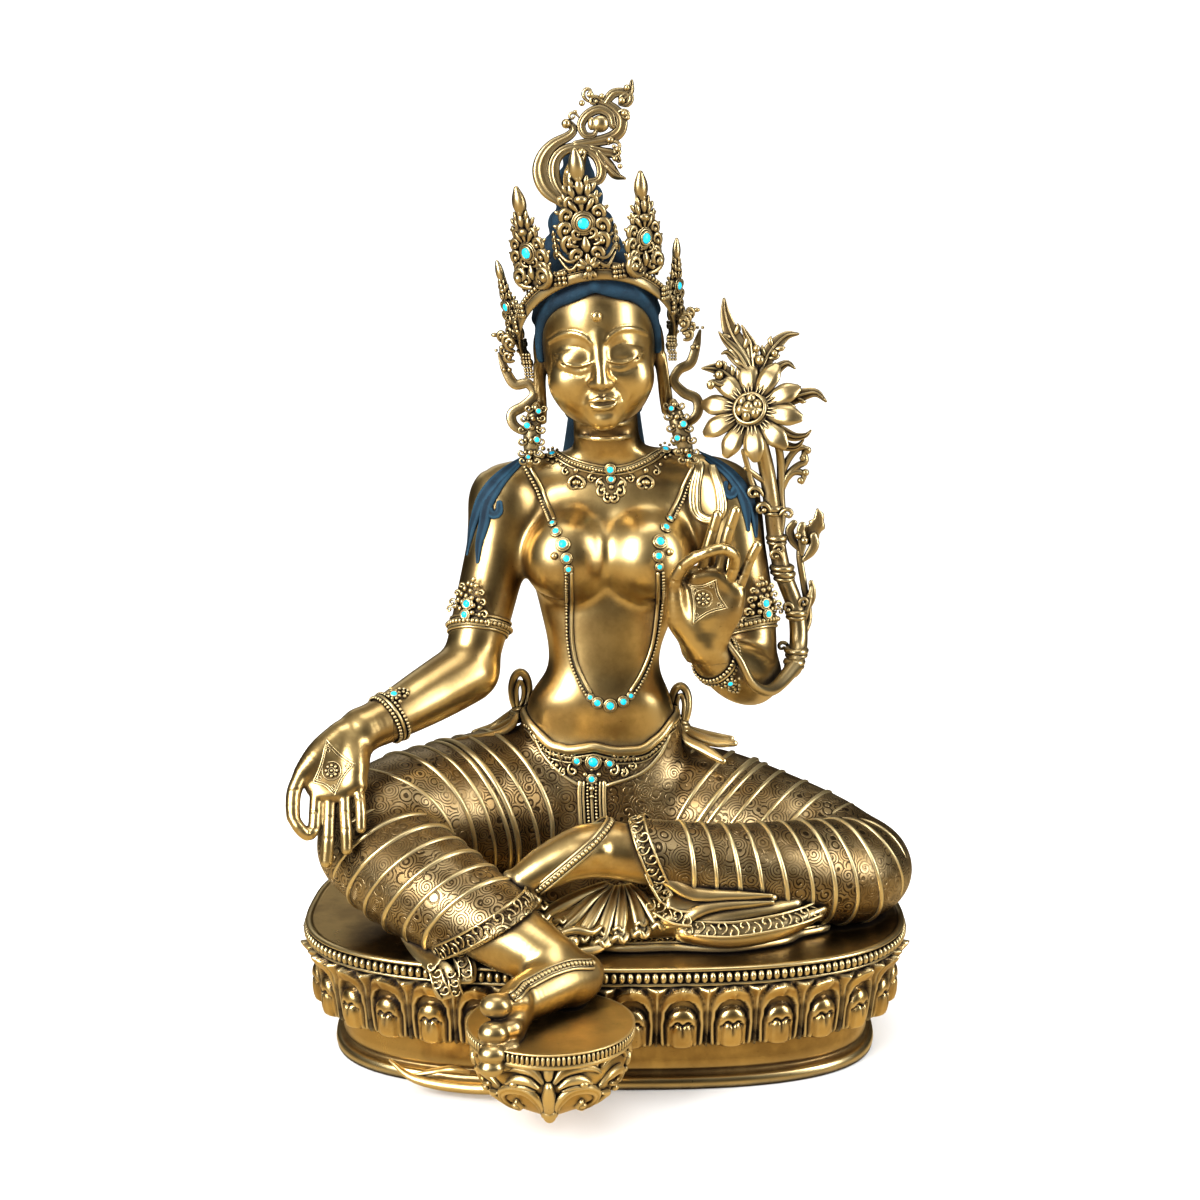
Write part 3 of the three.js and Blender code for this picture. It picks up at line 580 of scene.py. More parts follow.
def hair_finish():
    f = Finish("painted_hair")
    cloud = f.noise(60.0, 4.0)
    grain = f.noise(700.0, 4.0, 0.7)
    # Painted shade: hollows between the locks are darkened towards black
    crevice = f.node("AmbientOcclusion", {"samples": 6}, output="AO", Distance=4 * METRE)
    # Chalky wear and a painted highlight: the paint is lighter blue on its sharpest ridges
    chalk_and_highlight = f.node("NewGeometry", None, output="Pointiness").between(0.5, 0.57)
    colour = f.blend(cloud.between(0.35, 0.7), tone(0.003, 0.012, 0.024), tone(0.006, 0.026, 0.046))
    colour = f.blend((chalk_and_highlight * 0.5 + grain.between(0.6, 0.78) * 0.5).least(1.0), colour,
                     tone(0.035, 0.11, 0.17))
    colour = f.blend((1 - crevice.between(0.3, 0.9)) * 0.8, colour, tone(0.002, 0.004, 0.008))
    normal = f.bump(grain, 0.5 * METRE, 0.8)
    return f.surface(**{"Base Color": colour, "Roughness": 0.6 + grain * 0.2, "Normal": normal,
                        "Specular IOR Level": 0.3})


skin_gilding = gilding("skin_gilding", recess_soot_and_shade=1.0, reach=6.0, shine=0.21, mottle=0.6)
base_gilding = gilding("base_gilding", recess_soot_and_shade=1.1, reach=5.0, shine=0.2, mottle=0.6,
                       bright=tone(0.78, 0.55, 0.22), wear_and_highlight=0.6)
pad_gilding = gilding("pad_gilding", recess_soot_and_shade=1.0, reach=2.4, shine=0.3, mottle=0.35,
                      bright=tone(0.86, 0.6, 0.22), wear_and_highlight=0.5)
chased_gilding = gilding("chased_gilding", recess_soot_and_shade=1.3, reach=2.6, shine=0.24, mottle=0.4, deep=0.5, wear_and_highlight=0.55)
crown_gilding = gilding("crown_gilding", recess_soot_and_shade=1.3, reach=3.2, shine=0.25, mottle=0.5, deep=0.52,
                        dullness=0.15,
                        bright=tone(0.5, 0.4, 0.22), wear_and_highlight=0.3)
floral_gilding = gilding("floral_gilding", recess_soot_and_shade=1.2, reach=3.6, shine=0.24, mottle=0.55, deep=0.45,
                         dullness=0.08,
                         bright=tone(0.55, 0.43, 0.23), wear_and_highlight=0.35)
hem_gilding = gilding("hem_gilding", recess_soot_and_shade=1.2, reach=3.0, shine=0.25, mottle=0.6, dullness=0.2,
                      bright=tone(0.72, 0.54, 0.25))
cloth_gilding = gilding("cloth_gilding", recess_soot_and_shade=1.2, reach=3.0, shine=0.27, mottle=0.6, dullness=0.45,
                        chasing=swirl_chasing(1.7, 9.5), bright=SILVERED, dull=TARNISHED)
turquoise = turquoise_finish()
painted_hair = hair_finish()


# The oval base


def base_outline():
    """Evenly spaced points and outward normals round the base's widest outline, as functions of a share."""
    angle = np.linspace(0, 2 * np.pi, 4001)
    bend = lambda v: np.sign(v) * np.abs(v) ** (2 / BASE_SQUARENESS)
    x, y = BASE_HALF_LENGTH * bend(np.cos(angle)), BASE_HALF_DEPTH * bend(np.sin(angle))
    reach = np.concatenate([[0], np.cumsum(np.hypot(np.diff(x), np.diff(y)))])
    even = np.linspace(0, reach[-1], 1441)[:-1]
    x, y = np.interp(even, reach, x), np.interp(even, reach, y)
    for _ in range(40):
        x = (np.roll(x, 1) + x + np.roll(x, -1)) / 3
        y = (np.roll(y, 1) + y + np.roll(y, -1)) / 3
    forward = unit(np.stack([np.roll(x, -1) - np.roll(x, 1), np.roll(y, -1) - np.roll(y, 1)], axis=1))
    return np.stack([x, y], axis=1), np.stack([forward[:, 1], -forward[:, 0]], axis=1)


OUTLINE, OUTWARD = base_outline()


def outline_at(shares, inset):
    """Points of the outline moved in by inset, at shares of its length."""
    spot = np.mod(np.asarray(shares, float), 1) * len(OUTLINE)
    low = spot.astype(int) % len(OUTLINE)
    high = (low + 1) % len(OUTLINE)
    t = (spot - np.floor(spot))[..., None]
    points = OUTLINE[low] * (1 - t) + OUTLINE[high] * t
    outward = unit(OUTWARD[low] * (1 - t) + OUTWARD[high] * t)
    return points - outward * np.asarray(inset, float)[..., None]


def base_ring(count, height, inset):
    shares = np.arange(count) / count
    flat = outline_at(shares, np.broadcast_to(inset, shares.shape))
    return np.column_stack([flat, np.broadcast_to(height, shares.shape)])


def petal_relief(u, v):
    """How far a petal stands out, in mm: u from -1 to 1 across a pitch, v from its foot, 0, to its tip, 1."""
    half_pitch = 14.5
    tall = PETAL_TIP - PETAL_FOOT
    x = u * half_pitch
    # The frame: a broad band round an arch, notched at its crown
    half = np.interp(v, [0, 0.05, 0.14, 0.4, 0.62, 0.78, 0.88, 0.95, 1],
                     [9.5, 12.0, 13.2, 13.9, 13.6, 11.8, 9.2, 6.0, 1.5])
    edge = np.clip(np.abs(x) / half, 0, 1)
    frame = 6.4 * np.sqrt(1 - edge**2) ** 0.5
    ridge = 0.9 * smoothstep(3.0, 0.0, np.abs(x)) * smoothstep(0.74, 0.9, v)
    inner = np.interp(v, [0, 0.4, 0.6, 0.72, 0.77, 0.79], [9.6, 10.0, 9.2, 6.4, 3.0, 0.05])
    recess = 4.2 * smoothstep(inner + 0.9, inner - 0.3, np.abs(x)) * (v < 0.79)
    frame = (frame + ridge - recess) * (edge < 1)
    # The inner hood: a smooth dome over the bulb, its sides running down to the foot
    rise = np.clip((v - 0.42) * tall / 9.6, 0, None)
    round_hood = np.clip(1 - (x / 8.8) ** 2 - rise**2, 0, 1)
    hood = np.where(round_hood > 0, 3.2 + 5.0 * np.sqrt(round_hood), 0)
    # The bulb under it, with a notch and a split, inside a groove
    top = 0.45 - 0.045 * np.exp(-((x / 1.5) ** 2)) - 0.08 * smoothstep(3.4, 6.4, np.abs(x))
    inside = np.minimum((top - v) * tall, (6.7 - np.abs(x)) * 1.4)
    groove = 2.6 * np.exp(-((inside / 0.75) ** 2))
    swell = np.clip(1 - (x / 7.6) ** 2 - ((v - 0.22) * tall / 13.0) ** 2, 0, 1)
    split = 1.6 * np.exp(-((x / 0.6) ** 2)) * smoothstep(0.2, 0.34, v)
    bulb = 3.4 + 6.0 * np.sqrt(swell) - split
    hood = np.where(inside > 0, bulb, hood) - groove * (hood > 0)
    # The ridged wedge showing between two petals
    gap = (1 - np.abs(u)) * half_pitch
    wide = np.interp(v, [0.42, 0.6, 0.86, 1], [0.05, 1.9, 5.2, 5.4])
    wedge = np.where(gap < wide, 1.4 + 4.2 * (1 - gap / wide), 0) * smoothstep(1.0, 0.95, v)
    return np.maximum.reduce([frame, hood, wedge])


def lotus_base():
    core = Cast()
    profile = [
        (0.0, 60), (0.0, 23), (0.8, 21.6), (3.5, 21.0), (6.5, 21.4), (7.6, 22.4), (7.9, 24.5), (8.6, 26.6),
        (9.8, 27.2),
        (11.0, 26.4), (12.4, 25.8), (17, 26.2), (24, 26.0), (29, 25.6), (34, 25), (68, 16), (70.5, 5.4),
        (71.6, 4.2), (72.6, 5.2), (73.0, 6.2), (79.2, 6.2), (79.6, 4.2), (80.6, 3.4), (81.6, 4.0),
        (82.0, 5.6),
        (81.8, 7.0), (81.0, 7.6), (80.9, 9.0), (80.9, 60),
    ]
    core.rings([base_ring(BASE_SIDES, z, inset) for z, inset in profile])
    middles = (np.arange(BASE_BEADS) + 0.5) / BASE_BEADS
    places = np.column_stack([outline_at(middles, 0 * middles + 4.8), 0 * middles + 76.1])
    forward = unit(np.roll(places, -1, axis=0) - np.roll(places, 1, axis=0))
    upward = np.broadcast_to(UPWARD, forward.shape)
    axes = np.stack([forward, upward, np.cross(forward, upward)], axis=1)
    core.balls(places, [2.05, 3.3, 2.7], axes)
    piece("lotus_base_core", core, base_gilding, ("lotus_base",))
    columns = PETALS * PETAL_COLUMNS
    petals = Cast()
    shares = np.arange(columns) / columns
    u = 2 * np.mod(shares * PETALS, 1) - 1
    levels = [base_ring(columns, 31.0, 30.0)]
    for v in np.linspace(0, 1, PETAL_ROWS) ** 1.08:
        ground = 17.5 - 6.0 * v - 4.5 * smoothstep(0.75, 1.0, v)
        foot = math.sqrt(max(0.0, 1 - (1 - min(1.0, v / 0.1)) ** 2))
        relief = petal_relief(u, np.full(columns, v))
        inset = ground - relief * (0.25 + 0.75 * foot) + 6.0 * (1 - foot)
        levels.append(base_ring(columns, PETAL_FOOT + v * (PETAL_TIP - PETAL_FOOT), inset))
    levels.append(base_ring(columns, PETAL_TIP + 0.5, 20.0))
    petals.rings(levels)
    piece("lotus_petals", petals, base_gilding)


# The footrest


def footrest():
    pad = Cast()
    around = full_turn(PAD_SIDES)

    def level(z, radius):
        x, y = PAD_CENTRE
        return np.column_stack([x + radius * np.cos(around), y + radius * np.sin(around), 0 * around + z])

    pad.rings([level(z, r) for z, r in (
        (PAD_TOP - 9.5, 40), (PAD_TOP - 9.2, 45.5), (PAD_TOP - PAD_RIM - 1, 46.4), (PAD_TOP - PAD_RIM, 45.4),
        (PAD_TOP - 1.4, 45.4), (PAD_TOP - 1.0, 46.9), (PAD_TOP - 0.3, 47.0), (PAD_TOP, 46.2),
        (PAD_TOP - 0.5, 44.8), (PAD_TOP - 0.6, 20))])
    turn = full_turn(PAD_BEADS)
    outs = np.stack([np.cos(turn), np.sin(turn), 0 * turn], axis=1)
    acrosses = np.stack([-np.sin(turn), np.cos(turn), 0 * turn], axis=1)
    axes = np.stack([acrosses, np.broadcast_to(UPWARD, outs.shape), outs], axis=1)
    pad.balls(np.append(PAD_CENTRE, PAD_TOP - 3.9) + 45.7 * outs, [1.15, 3.0, 1.5], axes)
    # The bracket's core, and on it foliage and a mask, drawn round its belly as angle and height
    belly = [(16, 0.12, -0.26, 0.4), (24, 0.62, -0.5, 0.9), (33, 0.8, -0.74, 1.1), (46, 0.9, -0.84, 1.1),
             (60, 0.84, -0.84, 1.0)]

    def on_belly(angle, z, lift=0.0):
        """A point of the bracket: angle in degrees from straight ahead, to the figure's left."""
        angle, z = np.broadcast_arrays(np.radians(np.asarray(angle, float)), np.asarray(z, float))
        heights = [row[0] for row in belly]
        width, near, far = (np.interp(z, heights, [row[i] for row in belly]) * PAD_RADIUS for i in (1, 2, 3))
        middle, half = (near + far) / 2, (far - near) / 2
        return np.stack([
            PAD_CENTRE[0] + (width + lift) * np.sin(angle),
            PAD_CENTRE[1] + middle - (half + lift) * np.cos(angle), z], axis=-1)

    turns = -np.arange(0, 360, 12)
    pad.rings([on_belly(turns, row[0]) for row in belly])

    def relief(route, width, depth, lift=0.5, **options):
        """A moulding on the belly, its route given as mm across the front and height."""
        route = np.asarray(route, float)
        points = on_belly(route[:, 0] * 1.45, route[:, 1], lift)
        face = points - np.append(PAD_CENTRE, 40)
        sweep(pad, points, width, depth, face=np.mean(face, axis=0), **options)

    for side in (-1, 1):
        mirrored = lambda route: [(side * x, z) for x, z in route]
        relief(mirrored([(3, 49), (8, 54.5), (16, 56), (24, 53), (27, 50)]), [1.6, 3.2, 3.4, 2.4, 1], 2.2,
               0.5, ribs=2, sides=16)
        relief(mirrored([(5, 46), (10, 49), (16, 49), (21, 46)]), [1.2, 2.8, 2.8, 1], 2.6, 1.0)
        relief(mirrored([(7, 43.5), (12, 45), (18, 44), (23, 41.5)]), [0.8, 1.8, 1.8, 0.6], 2.0, 0.5)
        relief(mirrored([(4, 26), (5, 35), (11, 42), (20, 42), (27, 37), (28, 30), (22, 27),
                         (17, 30), (18, 34)]),
               [1.4, 2.6, 3.2, 3.2, 3, 2.6, 2.2, 1.8, 1.4], 2.4, 0.8, ribs=2, sides=16)
        relief(mirrored([(27, 42), (34, 46), (42, 46), (46, 41), (42, 37), (37, 39)]),
               [1, 2.6, 3, 2.6, 2, 1.4], 2.2, 0.6, ribs=2, sides=16)
        relief(mirrored([(30, 36), (37, 33), (40, 28), (36, 25), (32, 28)]), [1, 2.2, 2.2, 1.6, 1.2], 2, 0.6)
        relief(mirrored([(29, 53), (38, 57), (48, 54), (50, 50)]), [1.4, 2.8, 2.4, 1], 2.2, 0.5,
               ribs=2, sides=16)
        relief(mirrored([(52, 55), (60, 53), (64, 46), (60, 41), (55, 44), (57, 48)]),
               [1.2, 2.8, 2.8, 2.4, 1.8, 1.2], 2.2, 0.4)
        relief(mirrored([(47, 36), (53, 34), (56, 38), (52, 40)]), [1, 2, 1.8, 1.2], 1.8, 0.4)
        pad.balls(on_belly(np.array([19, 49, 17]) * side * 1.45, [31, 30, 46.5], 2), [2.6, 2.2, 1.9])
        pad.balls(on_belly(np.array([33, 44, 58]) * side * 1.45, [21.5, 33, 37.5], 1), [2.2, 2.0, 2.2])
    relief([(0, 57), (0, 52)], [3.2, 2.6], 2.6, 1.0)
    relief([(0, 47), (0, 40), (0, 30)], [2.4, 4.2, 3.4], 3.4, 1.2)
    pad.balls(on_belly([0, 0, -4, 4], [27, 21.5, 25, 25], 3), [4.2, 3.6, 2.4, 2.4], detail=2)
    stem = [(-128, -104, 17), (-112, -114, 10), (-80, -122, 8), (-54, -130, 13), (-40, -150, 32)]
    sweep(pad, stem, [0.8, 3.2, 3.6, 4.2, 4.6], face=UPWARD, ribs=2, sides=14)
    sweep(pad, [(-112, -112, 11), (-100, -112, 14), (-90, -116, 17), (-80, -117, 15)], [1, 3, 3, 0.8], 1.6,
          face=UPWARD)
    piece("footrest_lotus", pad, pad_gilding, ("footrest",))


lotus_base()
footrest()


# Modelling in clay: smooth forms taken from a block of distances


class Turned:
    """A part's own directions: its x across, y back and z up, leaning by pitch and roll in degrees."""

    def __init__(self, place, pitch=0.0, roll=0.0):
        self.place = np.asarray(place, float)
        p, r = math.radians(pitch), math.radians(-roll)
        about_x = np.array([[1, 0, 0], [0, math.cos(p), -math.sin(p)], [0, math.sin(p), math.cos(p)]])
        about_y = np.array([[math.cos(r), 0, math.sin(r)], [0, 1, 0], [-math.sin(r), 0, math.cos(r)]])
        self.turn = about_y @ about_x

    def point(self, points):
        """From the part's own directions to the object's."""
        return np.asarray(points, float)[..., :3] @ self.turn.T + self.place

    def stations(self, rows):
        rows = np.asarray(rows, float)
        return np.column_stack([self.point(rows), rows[:, 3:]])

    def direction(self, vector):
        return self.turn @ np.asarray(vector, float)

    def local(self, x, y, z):
        x, y, z = x - self.place[0], y - self.place[1], z - self.place[2]
        return tuple(self.turn[0, i] * x + self.turn[1, i] * y + self.turn[2, i] * z for i in range(3))


SEAT = Turned((0, 0, BASE_HEIGHT + 0.35))
HEAD = Turned(SEAT.point((-3.8, -1, 353)), 9, 4.5)
CROWN = Turned(SEAT.point((-3.8, -1, 352)), 9, 7)


class Clay:
    """A block of distances to a surface, in mm; grain is the spacing of its points."""

    def __init__(self, low, high, grain):
        self.grain = grain * 1.0
        self.low = np.asarray(low, float)
        counts = np.ceil((np.asarray(high, float) - self.low) / self.grain).astype(int) + 1
        self.axes = [self.low[i] + self.grain * np.arange(counts[i]) for i in range(3)]
        self.field = np.full(counts, 40.0, np.float32)

    def press(self, low, high, shape, blend=3.0, carve=False):
        """Joins a shape to the clay, or carves it away, with a fillet of about blend."""
        spans = []
        for i in range(3):
            first = np.searchsorted(self.axes[i], low[i] - blend - 2 * self.grain)
            last = np.searchsorted(self.axes[i], high[i] + blend + 2 * self.grain)
            spans.append(slice(first, last))
        if any(span.start >= span.stop for span in spans):
            return
        x, y, z = np.ix_(*(self.axes[i][spans[i]] for i in range(3)))
        made = shape(x, y, z)
        old = self.field[tuple(spans)]
        sign = -1.0 if carve else 1.0
        first = sign * old
        share = np.clip(0.5 + 0.5 * (made - first) / max(blend, 1e-3), 0, 1)
        merged = made + (first - made) * share - blend * share * (1 - share)
        self.field[tuple(spans)] = sign * merged

    def ball(self, centre, sizes, place=SEAT, blend=3.0, carve=False):
        """An ellipsoid, its centre and half sizes in the directions of place."""
        sizes = np.broadcast_to(np.asarray(sizes, float), (3,))
        middle = place.point(centre)
        reach = np.abs(place.turn) @ sizes

        def shape(x, y, z):
            parts = place.local(x, y, z)
            rel = [(part - centre[i]) / sizes[i] for i, part in enumerate(parts)]
            near = np.sqrt(sum(r * r for r in rel)) + 1e-6
            pull = np.sqrt(sum((r / sizes[i]) ** 2 for i, r in enumerate(rel))) + 1e-6
            return near * (near - 1) / pull

        self.press(middle - reach, middle + reach, shape, blend, carve)

    def limb(self, stations, place=SEAT, face=None, blend=4.0, step=3.0, carve=False, extra=0.0):
        """A rounded form along a course; each station is a point, a half width and, if flat, a half depth."""
        rows = course(place.stations(stations), step)
        points, widths = rows[:, :3], rows[:, 3] + extra
        depths = rows[:, 4] + extra if rows.shape[1] > 4 else None
        low = (points - widths[:, None]).min(axis=0)
        high = (points + widths[:, None]).max(axis=0)
        if depths is not None:
            forward, across, out = frames_along(points, face)

        def shape(x, y, z):
            best = None
            for i in range(len(points) - 1):
                a, b = points[i], points[i + 1]
                run = b - a
                along_run = (x - a[0]) * run[0] + (y - a[1]) * run[1] + (z - a[2]) * run[2]
                t = np.clip(along_run / np.dot(run, run), 0, 1)
                rel = [value - (a[k] + run[k] * t) for k, value in enumerate((x, y, z))]
                width = widths[i] + (widths[i + 1] - widths[i]) * t
                if depths is None:
                    gap = np.sqrt(rel[0] ** 2 + rel[1] ** 2 + rel[2] ** 2) - width
                else:
                    depth = depths[i] + (depths[i + 1] - depths[i]) * t
                    least = np.minimum(width, depth)
                    parts = [sum(rel[k] * row[i, k] for k in range(3)) for row in (across, out, forward)]
                    scales = [width, depth, least]
                    near = np.sqrt(sum((p / s) ** 2 for p, s in zip(parts, scales))) + 1e-6
                    pull = np.sqrt(sum((p / s**2) ** 2 for p, s in zip(parts, scales))) + 1e-6
                    gap = near * (near - 1) / pull
                best = gap if best is None else np.minimum(best, gap)
            return best

        self.press(low, high, shape, blend, carve)

    def levels(self, sections, squareness=2.3, place=SEAT, blend=4.0):
        """Level sections: height, centre x, centre y, half width, half depth."""
        rows = course(sections, 2.0)
        rows = rows[np.argsort(rows[:, 0])]
        reach = np.array([max(np.abs(rows[:, 1]) + rows[:, 3]), max(np.abs(rows[:, 2]) + rows[:, 4]),
                          max(np.abs(rows[:, 0]))])
        span = np.abs(place.turn) @ reach

        def shape(x, y, z):
            lx, ly, lz = place.local(x, y, z)
            cx, cy, width, depth = (np.interp(lz, rows[:, 0], rows[:, i]) for i in range(1, 5))
            rx, ry = np.abs(lx - cx) / width, np.abs(ly - cy) / depth
            near = (rx**squareness + ry**squareness) ** (1 / squareness) + 1e-6
            pull = np.sqrt((rx / width) ** 2 + (ry / depth) ** 2) + 1e-6
            side = near * (near - 1) / pull
            return np.maximum(side, np.maximum(rows[0, 0] - lz, lz - rows[-1, 0]))

        self.press(place.place - span, place.place + span, shape, blend)

    def above(self, height):
        """Cuts the clay off level below a height."""
        self.field = np.maximum(self.field, (height - self.axes[2])[None, None, :]).astype(np.float32)

    def value(self, points):
        spot = (np.asarray(points, float) - self.low) / self.grain
        top = np.array(self.field.shape) - 2
        first = np.clip(spot.astype(int), 0, top)
        t = np.clip(spot - first, 0, 1)
        total = 0.0
        for corner in np.ndindex(2, 2, 2):
            weight = np.prod([t[..., i] if corner[i] else 1 - t[..., i] for i in range(3)], axis=0)
            total = total + weight * self.field[tuple(first[..., i] + corner[i] for i in range(3))]
        return total

    def normal(self, points, reach=None):
        reach = reach or self.grain
        points = np.asarray(points, float)
        steps = np.eye(3) * reach
        return unit(np.stack([self.value(points + s) - self.value(points - s) for s in steps], axis=-1))

    def skin(self, cast, relax=2, hidden=None):
        """Takes the clay's surface, left open where hidden tells that points lie inside other pieces."""
        values = self.field
        inside = values < 0
        corners = list(np.ndindex(2, 2, 2))
        size = np.array(values.shape) - 1
        views = [inside[tuple(slice(c[i], c[i] + size[i]) for i in range(3))] for c in corners]
        count = sum(view.astype(np.int8) for view in views)
        active = (count > 0) & (count < 8)
        cells = np.argwhere(active)
        ids = np.full(active.shape, -1, np.int64)
        ids[active] = np.arange(len(cells))
        at = np.stack([values[tuple((cells + c).T)] for c in corners], axis=1)
        total = np.zeros((len(cells), 3))
        crossed = np.zeros(len(cells))
        for first, low in enumerate(corners):
            for axis in range(3):
                if low[axis]:
                    continue
                high = tuple(1 if i == axis else low[i] for i in range(3))
                second = corners.index(high)
                a, b = at[:, first], at[:, second]
                hit = (a < 0) != (b < 0)
                share = np.where(hit, a / np.where(hit, a - b, 1), 0)
                spot = np.array(low, float)[None] + np.eye(3)[axis] * share[:, None]
                total += spot * hit[:, None]
                crossed += hit
        points = (cells + total / crossed[:, None]) * self.grain + self.low
        quads = []
        for axis in range(3):
            b, c = (axis + 1) % 3, (axis + 2) % 3
            lower = inside.take(range(0, inside.shape[axis] - 1), axis=axis)
            upper = inside.take(range(1, inside.shape[axis]), axis=axis)
            edges = np.argwhere(lower != upper)
            edges = edges[(edges[:, b] > 0) & (edges[:, c] > 0)]
            edges = edges[(edges[:, b] < size[b]) & (edges[:, c] < size[c])]
            around = []
            for down_b, down_c in ((1, 1), (0, 1), (0, 0), (1, 0)):
                cell = edges.copy()
                cell[:, b] -= down_b
                cell[:, c] -= down_c
                around.append(ids[tuple(cell.T)])
            faces = np.stack(around, axis=1)
            out = lower[tuple(edges.T)]
            quads.append(np.where(out[:, None], faces, faces[:, ::-1]))
        quads = np.concatenate(quads)
        quads = quads[(quads >= 0).all(axis=1)]
        pairs = np.concatenate([quads[:, [i, (i + 1) % 4]] for i in range(4)])
        links = np.bincount(pairs[:, 0], minlength=len(points))[:, None]
        for _ in range(relax):
            mean = np.stack([np.bincount(pairs[:, 0], points[pairs[:, 1], i], len(points))
                             for i in range(3)], axis=1)
            points = points * 0.5 + mean / np.maximum(links, 1) * 0.5
            points -= self.normal(points) * np.clip(self.value(points), -0.5, 0.5)[:, None] * 0.6
        if hidden is not None:
            quads = quads[~hidden(points)[quads].all(axis=1)]
            used, quads = np.unique(quads, return_inverse=True)
            points, quads = points[used], quads.reshape(-1, 4)
        cast.add(points, quads)


def deep_in(*clays, depth=2.5):
    """Tells which points lie that deep inside any of the clays."""
    return lambda points: np.any([clay.value(points) < -depth for clay in clays], axis=0)


def strike(clay, starts, direction, reach):
    """Where rays from the starts first meet the clay, or pass it closest."""
    starts = np.asarray(starts, float)
    direction = np.broadcast_to(np.asarray(direction, float), starts.shape)
    marks = np.arange(0, reach, clay.grain * 0.6)
    spots = starts[:, None] + direction[:, None] * marks[None, :, None]
    values = clay.value(spots)
    met = (values < 0).any(axis=1)
    hit = np.clip(np.where(met, np.argmax(values < 0, axis=1), np.argmin(values, axis=1)), 1, None)
    rows = np.arange(len(starts))
    first, second = values[rows, hit - 1], values[rows, hit]
    share = np.where(met, np.clip(first / np.maximum(first - second, 1e-6), 0, 1), 1.0)
    return spots[rows, hit - 1] * (1 - share[:, None]) + spots[rows, hit] * share[:, None]


# The figure's forms, in the same stations as the solid: x, y, height over the seat, half width, half depth

TORSO = [
    [60, -1, 31, 62, 41], [86, -2, 28, 56.5, 36], [100, -2.5, 25, 52.5, 33], [108, -2.5, 24, 50.5, 31.5],
    [130, -3, 19, 45.5, 29.5], [148, -1, 17, 36.8, 25.5], [164, 0, 17, 36.5, 25], [186, 2, 19, 43, 27],
    [208, 3.5, 21, 50, 28], [226, 4.5, 22, 55, 29], [254, 5, 25, 61, 26], [270, 7, 25, 52, 20.5],
    [282, 5, 22, 34, 17.5],
    [289, 3, 17, 23.5, 17], [300, 1, 13, 20.5, 17.5], [322, -0.5, 7, 20, 18],
]
YOKE = [[-66, 20, 260, 19], [-54, 20, 269, 13], [-36, 19, 275, 11.5], [-18, 17, 279, 11], [2, 15, 282, 10],
        [24, 17, 281, 11],
        [46, 20, 278, 11.5], [66, 21, 272, 13], [78, 21, 262, 18]]
UPPER_ARM_RIGHT = [[-50, 22, 268, 8], [-62, 21, 254, 22], [-69, 16, 224, 20], [-79, 7, 182, 18.5],
                   [-87, -2, 150, 17]]
UPPER_ARM_LEFT = [[62, 22, 272, 8], [75, 21, 256, 22], [83, 15, 224, 20], [90, 5, 182, 18.5],
                  [92, -6, 150, 17]]
FOREARM_RIGHT = [[-84, 0, 152, 16], [-88, -4, 150, 19.6], [-108, -20, 140, 18.3], [-130, -40, 130, 15],
                 [-146, -52, 124, 13]]
FOREARM_LEFT = [[94, -3, 150, 16.5], [92, -8, 149, 19], [82, -28, 155, 18], [68, -46, 166, 14.5],
                [60, -54, 176, 13]]
THIGH_RIGHT = [[-14, 46, 48, 46], [-56, 32, 56, 49], [-100, 2, 58, 44], [-132, -30, 59, 39],
               [-148, -50, 50, 27]]
SHIN_RIGHT = [[-148, -38, 53, 28], [-136, -54, 47, 33], [-112, -78, 37, 33], [-82, -103, 27, 28.5],
              [-60, -121, 20, 25]]
THIGH_LEFT = [[14, 46, 44, 44], [62, 34, 45, 46], [108, 14, 38, 41], [146, -8, 31, 34], [168, -26, 26, 22]]
SHIN_LEFT = [[166, -18, 28, 27], [150, -40, 31, 31], [112, -60, 38, 28.5], [76, -70, 43, 25],
             [46, -77, 49, 22]]


def body_clay():
    clay = Clay((-170, -75, 135), (125, 65, 410), 1.85)
    clay.levels(TORSO, blend=0.5)
    for x in (-23, 26):
        clay.ball((x, 0, 226), (26.5, 23, 25), blend=11)
        clay.ball((x * 1.04, 2, 218), (25, 23.5, 22), blend=9)
    clay.limb(YOKE, blend=7)
    for arm in (UPPER_ARM_RIGHT, UPPER_ARM_LEFT):
        clay.limb(arm, blend=9)
    clay.limb(FOREARM_RIGHT[:-1] + [[-140, -48, 126, 13]], blend=5)
    clay.limb(FOREARM_LEFT[:-1] + [[63, -51, 172, 13]], blend=5)
    for z, r in ((300, 21), (309, 20.6), (317, 20)):
        clay.limb([[-19, 10, z, 1], [-12, -6, z - 1.5, 1.8], [0, -11, z - 2, 2.0], [12, -6, z - 1.5, 1.8],
                   [19, 10, z, 1]], blend=1.6)
    for side in (-1, 1):
        crease = [[side * 24, -9, 196, 0.8], [side * 38, -3, 199, 1.0], [side * 48, 6, 210, 0.7]]
        clay.limb([[x + 2, y, z, r] for x, y, z, r in crease], blend=3, carve=True)
    return clay


